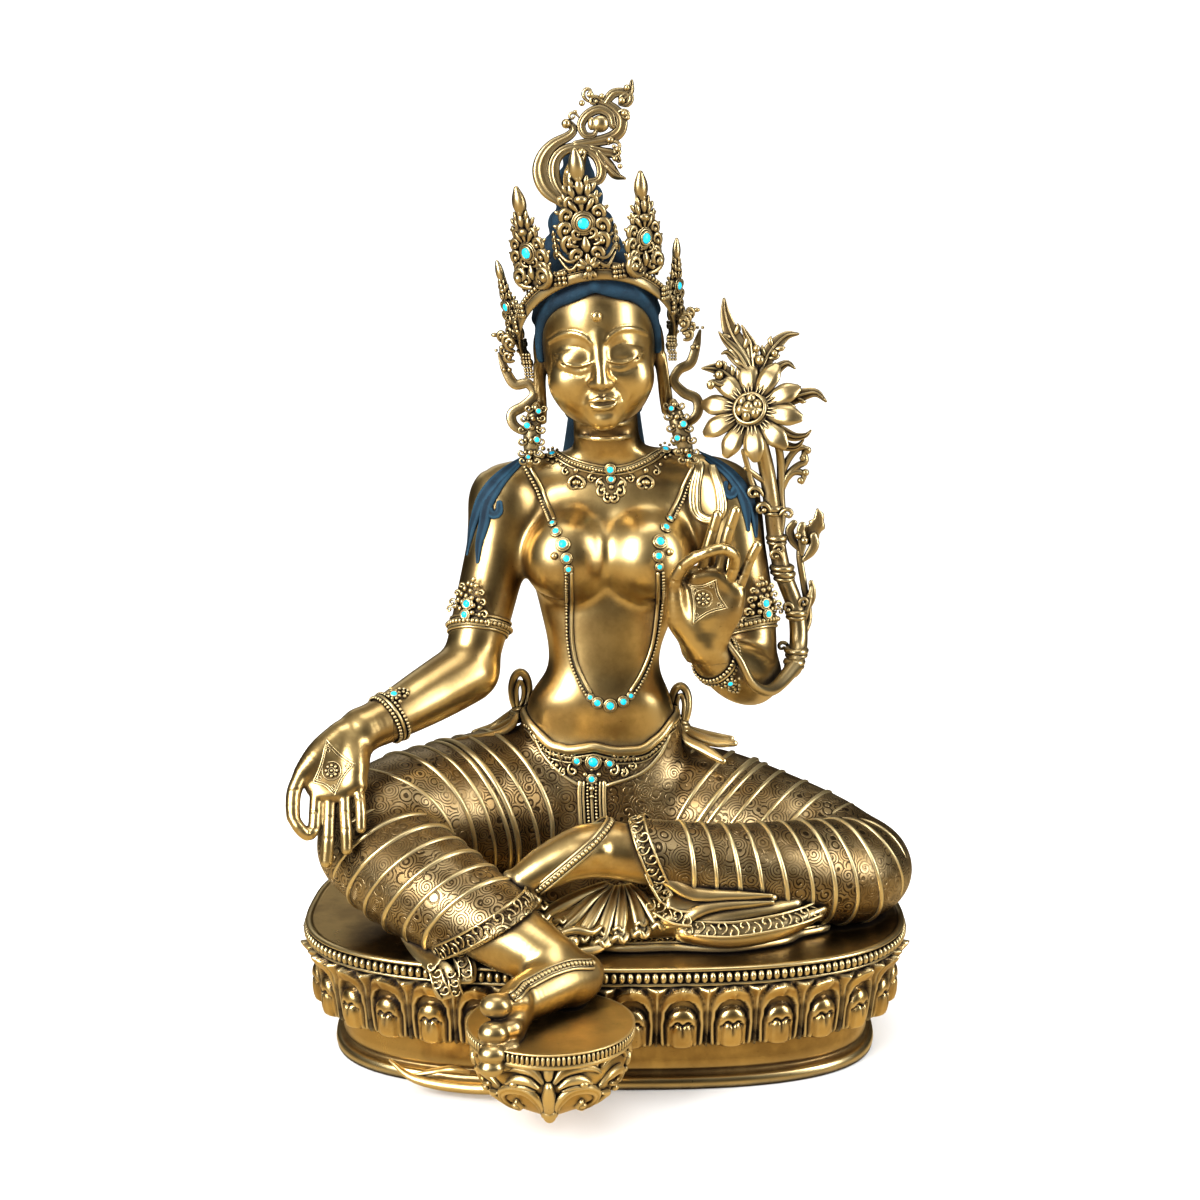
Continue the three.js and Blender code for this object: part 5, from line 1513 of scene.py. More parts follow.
def belt():
    cast = Cast()
    angle = np.radians(np.arange(-180, 180, 6))
    out = np.stack([np.sin(angle), -np.cos(angle), 0 * angle], axis=1)
    heights = waist_height(54 * np.sin(angle) - 1)
    starts = SEAT.point(np.column_stack([-1 + 88 * out[:, 0], 24 + 66 * out[:, 1], heights]))
    points = strike(BODY, starts, -out, 70)
    outs = BODY.normal(points, 2.0)
    route = np.column_stack([points, outs])
    sweep(cast, shifted(route, 0, 1.2, True), 3.2, 2.6, sides=12, step=2.5, closed=True)
    sweep(cast, shifted(route, -4.6, 1.4, True), 0.8, sides=6, step=2.5, closed=True)
    front = np.roll(route, 15, axis=0)[2:30]
    low = np.column_stack([front[:, :3] - (0, 0, 5.2), front[:, 3:]])
    low = laid(CLOTH, low[:, [0, 2]] - (0, SEAT.place[2]), 0.6)
    bead_row(cast, low[:, :3], 1.5, 1.8)
    sweep(cast, shifted(laid(CLOTH, low[:, [0, 2]] - (0, SEAT.place[2] + 2.8), 0.3), 0), 0.7,
          sides=6, step=2.5)
    for x, z, radius in ((-17.6, 93.5, 1.9), (-7.3, 93, 3.1), (3, 92, 1.9), (-8.3, 82, 2.0)):
        set_stone(cast, set_on(CLOTH, x, z, 1.5), radius)
    for side, middle in ((-1, -17.6), (1, 3.0)):
        for x, z, size, heading in ((4.5, 1.5, 2.8, 60), (4.5, -2, 3.0, -60), (9.5, 0.5, 2.9, 40),
                                    (10, -4, 2.4, -50), (14.5, 3, 2.4, 30),
                                    (15, -0.5, 2.2, -40), (19, 5, 2.0, 20)):
            frame = set_on(CLOTH, middle + side * x, 93 + z, 0.9)
            curl(cast, frame, (0, 0), to_side(side, heading), size,
                 side if heading > 0 else -side, width=0.4)
        for x, z, size in ((8.5, -5.5, 1.5), (13, -3, 1.5), (17.5, 1.5, 1.5), (6, 5, 1.5), (12, 5.5, 1.3),
                           (22.5, 6.5, 1.3)):
            cast.balls(set_on(CLOTH, middle + side * x, 93 + z, 0.7).place, size)
    # The hanging strip: raised outer bands and a beaded middle
    for x, half, rise in ((-16.0, 1.5, 1.2), (-13.4, 0.9, 0.9), (-8.2, 1.2, 0.7), (-3.0, 0.9, 0.9),
                          (-0.4, 1.5, 1.2)):
        strip = laid(CLOTH, [(x, 80), (x - 0.2, 70), (x + 0.2, 60), (x + 0.8, 52)], rise * 0.7)
        sweep(cast, strip, half, 1.1, step=2.5)
    for x in (-10.8, -5.6):
        bead_row(cast, laid(CLOTH, [(x, 79), (x - 0.1, 70), (x + 0.3, 60), (x + 0.9, 53)], 0.9, 2.0)[:, :3],
                 1.15, 1.9, detail=1)
    for x, z, radius in ((-8.3, 76, 2.0), (-8.3, 71, 1.6), (-12.5, 85, 1.6), (-4.0, 85, 1.6),
                         (-8.2, 88, 1.4)):
        cast.balls(set_on(CLOTH, x, z, 1.2).place, radius)
    bows = (
        (-1, -55.5, 116, ([(-58.5, 30, 117), (-60, 29, 112.5), (-68, 28, 107), (-78.5, 26, 102.5),
                           (-89, 24, 101)],
                          [(-58.5, 34, 118), (-66.5, 34, 111), (-75, 34, 105), (-86, 33, 102.5)],
                          [(-57, 24, 116), (-62, 20, 109), (-74, 14, 104.5), (-98, 6, 102.5)])),
        (1, 49.7, 107, ([(51, 30, 110), (53, 29, 106), (60.5, 28, 101.5), (72, 26, 98), (85, 24, 97.5)],
                        [(52, 34, 109), (55, 34, 105), (62.5, 34, 102), (74, 34, 99), (83.5, 33, 98.5)],
                        [(48, 24, 110), (52.5, 18, 101.5), (65, 10, 96.5), (76, 2, 91)])),
    )
    for side, x, z, tails in bows:
        at = lambda rows: SEAT.point([(x + side * a, 32 + b, z + c) for a, b, c in rows])
        outline = [(0.6, 1, -2), (-1.4, 0, 3), (-4.6, 0, 9), (-5.4, 1, 17), (-3.6, 2, 24), (0, 2, 26.8),
                   (3.6, 2, 24), (5.4, 1, 17),
                   (4.6, 0, 9), (2.6, 0, 3), (1.4, 1, -2)]
        sweep(cast, at(outline), 2.7, 3.2, sides=12, step=1.5, ribs=2, rib_depth=0.3)
        inner = [(0.4, -1.5, 4), (-1.9, -1.5, 10), (-2.3, -1, 16.5), (0, -0.5, 21.5), (2.3, -1, 16.5),
                 (2.2, -1.5, 10), (1.6, -1.5, 4)]
        sweep(cast, at(inner), 1.6, 2.4, step=1.5)
        for level, radius in ((3.5, 3.6), (1, 4.3), (-1.5, 4.6), (-4, 4.2)):
            hoop(cast, Frame(at([(1.2 - 0.2 * level, 0, level)])[0], unit((side * 0.15, -0.1, 1)), FRONT),
                 radius, 1.8, sides=10)
        for rows in tails:
            sweep(cast, SEAT.point(rows), np.array([2.2, 3.2, 3.6, 3.6, 2.2]), 2.6,
                  face=unit((side * 0.1, -0.8, 0.6)), sides=14, step=2.0,
                  ribs=2, rib_depth=0.4)
    piece("belt_and_bows", cast, chased_gilding)


def seat_cloth():
    """The cloth spread on the seat in front, with its engraved border and gathered folds."""
    cast = Cast()
    middle = SEAT.point((36, -56, 0))
    angle = full_turn(90)
    wave = 1 + 0.045 * np.cos(6 * angle) + 0.02 * np.cos(11 * angle + 1)

    def edge(z, inset):
        x, y = (97 - inset) * wave * np.cos(angle), (45 - inset) * wave * np.sin(angle)
        return middle + np.column_stack([x, y, 0 * angle + z])

    cast.rings([edge(z, inset) for z, inset in ((-0.6, 0.5), (2.2, 0), (3.4, 0.8), (4.2, 2.4), (4.4, 12),
                                                (5.4, 14), (8, 40))])
    border = Cast()
    scrolled_border(border, turned_to(UPWARD, edge(4.3, 7)), 4.0, closed=True, pitch=6.5)
    # Gathered folds falling from between the feet
    folds = [
        [(0, -78, 34), (-12, -84, 31), (-26, -90, 26), (-38, -94, 20)],
        [(2, -78, 33), (-8, -86, 28), (-18, -93, 20), (-27, -98, 13)],
        [(4, -78, 32), (-2, -87, 26), (-9, -95, 17), (-15, -100, 9)],
        [(7, -78, 32), (4, -88, 25), (0, -97, 15), (-3, -102, 7)],
        [(10, -77, 32), (10, -87, 25), (9, -95, 17), (8, -100, 9)],
        [(13, -76, 32), (17, -84, 26), (20, -92, 18), (21, -97, 11)],
        [(15, -75, 32), (22, -82, 27), (28, -88, 20), (32, -92, 14)],
    ]
    for fold in folds:
        sweep(cast, SEAT.point(fold), [2.4, 3.4, 4.2, 3.6], [3, 3.6, 3.6, 2.6], face=unit((0, -0.6, 1)),
              sides=14, ribs=3, rib_depth=0.5)
        end = SEAT.point(fold[-1])
        for rise, size in ((0, 1.0), (5, 0.7)):
            wave = np.array([(-5, 2, 0.5), (-4, -2.5, -1), (-0.5, -3.2, 2), (2, -3, -1.4), (5, 0, 1.5),
                             (3, 2.5, 3)]) * size
            sweep(cast, end + wave + (0, rise * 0.5, rise), np.array([1.3, 1.9, 1.7, 1.9, 1.6, 0.9]) * size,
                  step=1.2)
    loop = [(2, -102, 6), (-8, -107, 3.5), (-20, -110, 3.5), (-28.5, -110, 8), (-26, -108, 13.5),
            (-17, -107, 16), (-8, -105, 14), (-3, -101, 16)]
    sweep(cast, SEAT.point(loop), [2.2, 3.0, 3.2, 3.0, 2.8, 2.6, 2.2, 1.2], 2.6, sides=12, step=1.8)
    cast.balls(SEAT.point((-19.5, -109, 9.8)), [4.4, 3.6, 3.8], detail=2)
    # The fold and the hem's tail beside the right shin, hanging over the seat's edge
    for rows, direction in (
        ([(-128, -80, 19, 1.5), (-116, -97, 9, 4.5), (-106, -110, 4, 6.5), (-97, -122, 1, 7)],
         (-0.5, -0.4, 0.75)),
        ([(-100, -118, 0, 4), (-94, -126, -4, 7), (-92, -130, -10, 8), (-90, -131, -15, 6.5)],
         (-0.3, -0.9, 0.3)),
        ([(-90, -112, 12, 2.5), (-84, -120, 7, 5), (-80, -125, 0, 6), (-79, -128, -7, 4.5)],
         (-0.1, -0.9, 0.4)),
    ):
        rows = np.array(rows, float)
        sweep(cast, SEAT.point(rows), rows[:, 3], 1.5, face=unit(direction), sides=16, ribs=2,
              rib_depth=0.4, step=1.6)
    for rows, direction, half in (
        ([(-98, -126.5, -1), (-95, -131, -8), (-91, -132.5, -14)], (-0.3, -0.9, 0.3), 3.6),
        ([(-87, -131, -4), (-86, -133, -9), (-84, -132.5, -14)], (-0.2, -0.95, 0.2), 3.0),
        ([(-86, -119.5, 9), (-81, -126, 1.5), (-80, -129.5, -5)], (-0.1, -0.9, 0.4), 3.6),
    ):
        scrolled_border(border, turned_to(direction, course(SEAT.point(rows), 2.0)), half)
    # The fold under the left hem, its tails and the bordered edge before the left shin
    for rows, depth in (
        ([(31, -97, 45, 3.5), (38, -98, 43, 4.6), (49, -99, 36.8, 4.2), (60, -99.5, 35, 3.2),
          (73, -99, 34.6, 2.4), (98, -96, 33, 1)], 2.6),
        ([(36, -101, 19, 4.6), (46, -102, 21.5, 4.2), (53, -102, 25.5, 3.6), (62, -101, 28.2, 2.8),
          (75, -100, 29.2, 2.2), (99, -96, 29, 1)], 2.4),
        ([(38, -96, 33, 8), (52, -97, 30, 6.5), (66, -97, 30, 5.5), (80, -96, 30.5, 4),
          (100, -92, 31, 2)], 2.0),
        ([(44, -98, 16, 4), (60, -99, 20, 5), (75, -98, 23, 4.5), (95, -94, 25, 4), (114, -87, 26, 3)], 3.0),
        ([(46, -96, 10, 5), (60, -99, 11, 8), (76, -99, 11, 8.5), (98, -96, 13, 7.5), (116, -89, 15.5, 5.5),
          (130, -82, 18, 2)], 7.5),
    ):
        rows = np.array(rows, float)
        sweep(cast, SEAT.point(rows), rows[:, 3], depth, face=unit((0, -0.75, 0.65)), sides=18,
              ribs=0, step=2)
    cast.balls(SEAT.point((38, -103, 20.5)), [5.5, 3.0, 3.6], detail=2)
    for rows, half in (
        ([(52, -104, 16), (74, -106.5, 16), (98, -103, 18.5), (116, -95, 20.5), (127, -87, 22)], 4.4),
        ([(27, -97, 49), (31, -100, 41), (36, -102, 33)], 4.0),
        ([(30, -100, 28), (41, -104, 23), (51, -105.5, 22)], 4.2),
    ):
        scrolled_border(border, turned_to((0, -0.78, 0.62), course(SEAT.point(rows), 2.0)), half, rim=0.9)
    piece("seat_cloth", cast, hem_gilding)
    piece("seat_cloth_border", border, chased_gilding)


# Hair


def hair():
    cast = Cast()
    HAIR.skin(cast, hidden=deep_in(FACE, BODY))
    knot = Clay(SEAT.point((-52, -22, 384)), SEAT.point((22, 50, 486)), 1.5)
    knot.limb([[-11, 14, 392, 20], [-14, 14, 418, 21], [-16, 14, 440, 13], [-17, 14, 462, 9],
               [-18, 14, 472, 6.5]], blend=2)
    for z, reach, size, count, start in ((399, 17, 10.5, 8, 0), (414, 18.5, 10, 8, 22), (430, 14, 8.5, 7, 0),
                                         (446, 9.5, 7.5, 6, 20), (458, 6.5, 6.5, 5, 0),
                                         (470, 2.5, 6.5, 3, 30)):
        for i in range(count):
            turn = math.radians(start + 360 * i / count)
            knot.ball((-12 - (z - 396) * 0.09 + reach * math.sin(turn),
                       14 - reach * 0.92 * math.cos(turn), z), (size * 0.82, size * 0.82, size), blend=1.6)
    knot.skin(cast, hidden=deep_in(HAIR))
    piece("hair", cast, painted_hair)
    locks = Cast()
    right = [
        ([(-42, 290), (-56, 281), (-68, 271), (-77, 259), (-82, 246), (-85, 234), (-87, 224)],
         [1.2, 2.4, 3.8, 4.6, 4.2, 3.2, 1.2]),
        ([(-50, 284), (-64, 272), (-73, 258), (-76, 244), (-79, 232), (-80, 220)],
         [1.2, 2.6, 3.8, 4.0, 3.2, 1.1]),
        ([(-74, 256), (-71, 250.5), (-66.5, 251.5), (-66, 258)], [3.4, 3, 2.6, 1.8]),
    ]
    left = [
        ([(60, 288), (74, 280), (84, 270), (91, 258), (94, 246), (95, 236)], [1.0, 2.2, 3.4, 4.0, 3.4, 1.2]),
        ([(64, 284), (78, 274), (86, 262), (89, 250), (90, 240)], [1.0, 2.4, 3.4, 3.2, 1.1]),
        ([(82, 266), (79, 262), (75, 265), (76, 270)], [2.8, 2.8, 2.2, 1.4]),
    ]
    for group in (right, left):
        for places, widths in group:
            sweep(locks, laid(BODY, places, 0.4), widths, np.array(widths) * 0.62, sides=14, ribs=3,
                  rib_depth=0.3, step=2)
    back = [[(x, 36, 330), (x * 1.2, 43, 308), (x * 1.6, 48, 280), (x * 2.2, 51, 250), (x * 2, 50, 226),
             (x * 1.6, 48, 206 + abs(x))] for x in (-14, -5, 5, 14)]
    for lock in back:
        sweep(locks, SEAT.point(lock), [8, 9, 9, 8, 6, 2.5], [8, 7, 6, 5, 4, 2], sides=16, ribs=4)
    piece("hair_locks", locks, painted_hair)


# Jewellery on the body


def necklace():
    cast = Cast()
    row = laid(BODY, [(-33, 288), (-27, 285), (-20, 282), (-9, 279), (3, 277.5), (15, 279), (26, 283.5),
                      (33, 287), (38, 290)], 0.2, 2.0)
    sweep(cast, shifted(row, 0, 0.2), 2.0, 1.0, step=2)
    bead_row(cast, shifted(row, -0.2, 1.3)[:, :3], 1.15, 1.7)
    sweep(cast, shifted(row, -2.6, 0.5), 0.7, sides=6, step=2)
    sweep(cast, shifted(row, 2.4, 0.5), 0.7, sides=6, step=2)
    at = lambda x, z, lift=0.6: set_on(BODY, x, z, lift)
    set_stone(cast, at(3.3, 278.5, 2.2), 2.1)
    set_stone(cast, at(3.8, 272, 1.6), 1.7)
    for x, z, size in ((-3, 270, 1.6), (10.5, 270, 1.6), (-1, 265.5, 1.5), (8.8, 265.5, 1.5),
                       (4, 266.8, 1.7), (1.5, 262.6, 1.3), (6.4, 262.6, 1.3), (4, 260, 2.0),
                       (-6.5, 272.5, 1.3), (14, 272.5, 1.3)):
        cast.balls(at(x, z).place, size)
    for side in (-1, 1):
        for x, z, heading, size in ((6, 273, -30, 3.2), (7.5, 267.5, -60, 3.0), (4, 262.5, -70, 2.6),
                                    (11.5, 275.5, -20, 2.4)):
            curl(cast, at(3.8 + side * x, z, 0.5), (0, 0), to_side(side, heading), size, -side)
        for x, z, heading, size in ((21.5, 274, 195, 3.8), (22.5, 274, -25, 3.8), (28, 280, -30, 2.4),
                                    (15, 277, -150, 2.4)):
            curl(cast, at(3.8 + side * x, z, 0.5), (0, 0), to_side(side, heading), size,
                 side if heading > 90 else -side)
        for x, z, size in ((22, 270, 1.9), (18, 268.5, 1.5), (26, 269.5, 1.5), (22, 277.5, 1.8),
                           (22, 266.5, 1.3), (31, 281, 1.4), (14, 273, 1.4)):
            cast.balls(at(3.8 + side * x, z).place, size)
    for x, z, direction in ((-33, 286, -1), (38, 289, 1)):
        frame = at(x, z, 1.6)
        set_stone(cast, frame, 2.0)
        for turn in range(0, 360, 45):
            a = math.radians(turn)
            cast.balls(at(x + 4.0 * math.cos(a), z + 4.0 * math.sin(a), 0.8).place, 1.15)
        for dx, dz, size in ((6.5, -1, 2.4), (10.5, -3, 1.9), (6, 3.5, 1.6), (13.5, -4.5, 1.3)):
            cast.balls(at(x + direction * dx, z + dz, 0.8).place, size)
    piece("necklace", cast, chased_gilding)


def long_chain():
    cast = Cast()
    sides = (
        (-1, [(-49, 279), (-43, 268), (-38, 257), (-33, 247)],
         [(-22.3, 216), (-22.4, 205), (-22.2, 194), (-21.9, 173), (-19.5, 157), (-14.5, 144.5),
          (-10.5, 137.5)],
         [(-32.4, 245.2, 1.5), (-30.1, 240.8, 2.0), (-25.9, 233.6, 2.6), (-23.7, 225.2, 2.1),
          (-22.5, 218.6, 1.6)], (-31.3, 226.5)),
        (1, [(57, 279), (52, 269), (47, 258), (41.5, 248.5)],
         [(34, 216), (34.4, 205), (34.2, 194), (32.1, 175), (29, 161), (23.5, 147.5), (17.5, 138)],
         [(40.3, 247.4, 1.5), (37.5, 242.8, 2.0), (33.8, 235, 2.6), (32.8, 226.6, 2.1),
          (33.4, 220, 1.6)], (39.8, 228.6)),
    )
    for hand, upper, lower, stones, ball in sides:
        for route in (upper, lower):
            strung(cast, laid(BODY, route, 0.2, 2.0), hand)
        for x, z, radius in stones:
            set_stone(cast, set_on(BODY, x, z, 1.1), radius)
        cast.balls(set_on(BODY, *ball, 0.8).place, 2.3, detail=2)
    for x, z, radius in ((-9.2, 135.2, 1.5), (-4.7, 131.8, 2.1), (3.3, 130, 2.5), (11.5, 132.4, 2.1),
                         (16.2, 135.8, 1.5)):
        set_stone(cast, set_on(BODY, x, z, 1.1), radius)
    piece("long_chain", cast, chased_gilding)
    scarf = Cast()
    for reach in (1.0, 0.68, 0.36):
        route = [(62 - 3 * reach, 281), (61 - 6 * reach, 266), (61.5 - 6.5 * reach, 253),
                 (64 - 3.5 * reach, 246.5 + 3 * (1 - reach)), (67 + 2 * reach, 246 + 3 * (1 - reach)),
                 (70 + 4.5 * reach, 253), (69 + 4 * reach, 266), (66 + 2.5 * reach, 279)]
        sweep(scarf, laid(BODY, route, 0.7), 1.9, 1.7, sides=10, step=1.6, ribs=1, rib_depth=0.3)
    piece("scarf_end", scarf, skin_gilding)


def palm_panel(cast, clay, centre, corners):
    """A rosette in a four-pointed frame of double lines, chased on a palm."""
    centre, corners = np.array(centre), np.array(corners)
    frame = set_on(clay, centre[0], centre[1], 0.0)
    rosette(cast, frame, 4.4)
    for radius in (2.6, 5.6):
        hoop(cast, frame.moved(0, 0, 0.1), radius, 0.4, sides=6)
    for reach, thick in ((1.0, 0.5), (0.86, 0.35)):
        for first, second in zip(corners, np.roll(corners, -1, axis=0)):
            middle = centre + ((first + second) / 2 - centre) * 0.86
            places = centre + (np.array([first, middle, second]) - centre) * reach
            sweep(cast, laid(clay, places, 0.1, 1.5), thick, sides=6, step=1.2)
    for share, size in ((0.66, 1.1), (0.8, 0.8)):
        for x, z in centre + (corners - centre) * share:
            hoop(cast, set_on(clay, x, z, 0.15), size, 0.35, sides=5)


def bands():
    """Armlets, bracelets, anklets and the palms' rosettes."""
    cast = Cast()
    for stations, share, slant, out, up_lean in ((UPPER_ARM_RIGHT, 0.76, -4, (-0.45, -0.9, 0.1), 0.28),
                                                 (UPPER_ARM_LEFT, 0.76, -3, (0.5, -0.85, 0.1), -0.15)):
        for offset, radius in ((-0.018, 0.9), (0.045, 0.9)):
            sweep(cast, ring_on(stations, share + offset, slant, 90, 0.6), radius, sides=6, step=2.5,
                  closed=True)
        sweep(cast, ring_on(stations, share + 0.014, slant, 90, 0.2), 3.6, 1.2, step=2.5, closed=True)
        bead_row(cast, ring_on(stations, share + 0.014, slant, 90, 1.7)[:, :3], 1.6, 1.8, True, detail=1)
        frame = facing_frame(ring_on(stations, share - 0.03, slant, 90, 1.0), out, 1.5,
                             UPWARD + ACROSS * up_lean)
        set_stone(cast, frame.moved(0, 5.5, 0.5), 2.4)
        set_stone(cast, frame.moved(0.5, -1.5, 0.8), 2.1)
        for level, width in ((1, 9), (5.5, 8), (10, 6.2), (14, 4.6), (18, 2.8), (21.5, 1.0)):
            count = max(2, int(width / 1.9))
            for x in np.linspace(-width, width, count + 1) if width > 1 else (0,):
                if abs(x) > 3.4 or level > 9:
                    cast.balls(frame.at(x, level, -0.035 * x * x), 1.75)
        for side in (-1, 1):
            for x, z, size, heading in ((8.5, 2, 2.6, 60), (6.5, 8.5, 2.3, 70), (4.8, 14, 2.0, 75),
                                        (11.5, -1.5, 2.2, 30)):
                curl(cast, frame.moved(side * x, z, -0.04 * x * x), (0, 0), to_side(side, heading),
                     size, -side)
    for stations, share, out, up, radius in ((FOREARM_RIGHT, 0.8, (0.1, -0.6, 0.85), (0.55, 0.2, 0.3), 1.9),
                                             (FOREARM_LEFT, 0.8, (0.1, -0.9, -0.5), (0.5, 0.2, -0.8), 0)):
        for offset in (-0.03, 0.03):
            bead_row(cast, ring_on(stations, share + offset, 1.5, 0, 1.1)[:, :3], 1.35, 1.8, True, detail=1)
        sweep(cast, ring_on(stations, share, 1.5, 0, 0.6), 1.3, 1.3, step=2.5, closed=True)
        frame = facing_frame(ring_on(stations, share - 0.06, 1.5, 0, 1.0), out, 1.2, up)
        rosette(cast, frame, 4.6, radius or 1.6)
        for x, z in ((0, 6.6), (-3.4, 5.6), (3.4, 5.6), (0, 9.6), (-2, 8), (2, 8), (-6, 1), (6, 1)):
            cast.balls(frame.at(x, z, -0.5), 1.3)
    ring = band_round(FOOT_LEFT, (-16, -90, 60), (0.77, 0, 0.64))
    strap = laid(FOOT_RIGHT, [(-50, 7.8), (-45, 9.2), (-38, 10.8), (-28, 12.4), (-18, 12.8), (-8, 10)],
                 0.0, 2.0)
    for route, closed in ((ring, True), (strap, False)):
        sweep(cast, shifted(route, 0, 0.4, closed), 2.4, 1.2, step=2.0, closed=closed)
        for offset in (-2.7, 2.7):
            sweep(cast, shifted(route, offset, 0.7, closed), 0.9, sides=6, step=2.0, closed=closed)
        bead_row(cast, shifted(route, 0, 1.7, closed)[:, :3], 1.5, 1.75, closed, detail=1)
    palm_panel(cast, HAND_LEFT, (58, 206.3), [(65.3, 217.8), (50.8, 213.9), (52.2, 191.5), (72.2, 201.1)])
    palm_panel(cast, HAND_RIGHT, (-162.4, 105), [(-166.2, 122.5), (-149, 108.8), (-159.9, 92), (-173, 98.8)])
    piece("bands", cast, chased_gilding)


# The crown


def crown_frame(angle, tilt=0.0, rise=0.0):
    """A frame standing on the crown's band, angle in degrees to the figure's left of the front."""
    a, t = math.radians(angle), math.radians(tilt)
    out = np.array([math.sin(a), -math.cos(a), 0])
    place = CROWN.point((48 * math.sin(a), 3 - 42 * math.cos(a), 12 + 40 * math.cos(a) + rise))
    up = UPWARD * math.cos(t) + out * math.sin(t)
    face = out * math.cos(t) - UPWARD * math.sin(t)
    return Frame(place, CROWN.direction(face), CROWN.direction(up))


def crown_leaf(cast, frame, tall, half, stone_at, stone_radius, volute):
    """A leaf of the crown: scrolls and leaflets on a thin blade round a stone, with a plain finial."""
    spread = np.array([0.5, 0.8, 0.92, 0.88, 0.7, 0.5, 0.34, 0.24, 0.1]) * half
    sweep(cast, frame.at(0, np.linspace(0, 1, len(spread)) * tall * 0.93), spread, 1.2, face=frame.out,
          step=tall / 14)
    # The plain finial, and rows of leaflets under it
    sweep(cast, frame.at(0, np.array([0.76, 0.84, 0.92, 1.0]) * tall - 1.2, 1.2),
          np.array([0.22, 0.33, 0.3, 0.14]) * half,
          np.array([0.2, 0.28, 0.25, 0.13]) * half, face=frame.out, sides=12, step=1.6)
    for v, size in ((0.735, 0.2), (0.655, 0.25)):
        drop(cast, frame, (0, v * tall - size * half), 90, size * half * 2.4, size * half * 0.85, lift=2.6)
        for side in (-1, 1):
            drop(cast, frame, (side * 0.24 * half, (v - 0.03) * tall - size * half), 90 - side * 14,
                 size * half * 2.2, size * half * 0.66, lift=2.1)
            drop(cast, frame, (side * 0.48 * half, (v - 0.07) * tall - size * half), 90 - side * 26,
                 size * half * 1.8, size * half * 0.5, lift=1.6)
    cast.balls(frame.at(0, (stone_at + 0.2) * tall, 2.0), np.array([0.3, 0.3, 0.2]) * half, detail=2)
    for turn in (-34, 0, 34):
        drop(cast, frame, (0.34 * half * math.sin(math.radians(turn)),
                           (stone_at + 0.02) * tall + 0.4 * half), 90 - turn, 0.5 * half,
             0.14 * half, lift=2.8)
    edges = ((0.07, 0.56, 0.27), (0.19, 0.82, 0.28), (0.31, 0.9, 0.28), (0.43, 0.78, 0.26),
             (0.54, 0.56, 0.22), (0.64, 0.38, 0.17))
    for side in (-1, 1):
        for v, x, size in edges:
            curl(cast, frame, (side * x * half, v * tall - size * half), 90 - side * 30, size * half, side,
                 lift=1.4, width=0.5, ball=0.5)
            cast.balls(frame.at(side * (x - 0.22) * half, (v + 0.04) * tall, 1.8), 0.1 * half)
            drop(cast, frame, (side * (x + 0.02) * half, (v + 0.02) * tall), 90 - side * 62, 0.3 * half,
                 0.09 * half, lift=1.0)
        for x, fall, size in ((0.16, 0.62, 0.2), (0.34, 0.9, 0.2)):
            curl(cast, frame, (side * x * half, stone_at * tall - fall * half), to_side(side, 0),
                 size * half, side, lift=2.2, width=0.5)
        if volute:
            curl(cast, frame, (side * 0.24 * half, 0.01 * tall), to_side(side, 0), 0.5 * half, side,
                 width=0.36, lift=1.8, winding=1.3)
    middle = lambda lift: frame.moved(0, stone_at * tall, lift)
    hoop(cast, middle(1.6), 0.44 * half, 0.1 * half, sides=10)
    hoop(cast, middle(2.4), 0.31 * half, 0.085 * half, sides=10)
    set_stone(cast, middle(3.2), stone_radius * 0.66)
    drop(cast, frame, (0, stone_at * tall - 0.58 * half), -90, 0.55 * half, 0.22 * half, lift=2.4)


def cluster(cast, frame, radius):
    """Nine beads in a square."""
    spots = np.array([(x, y) for x in (-1, 0, 1) for y in (-1, 0, 1)]) * radius * 1.6
    cast.balls(frame.at(spots[:, 0], spots[:, 1], 1.6), radius)


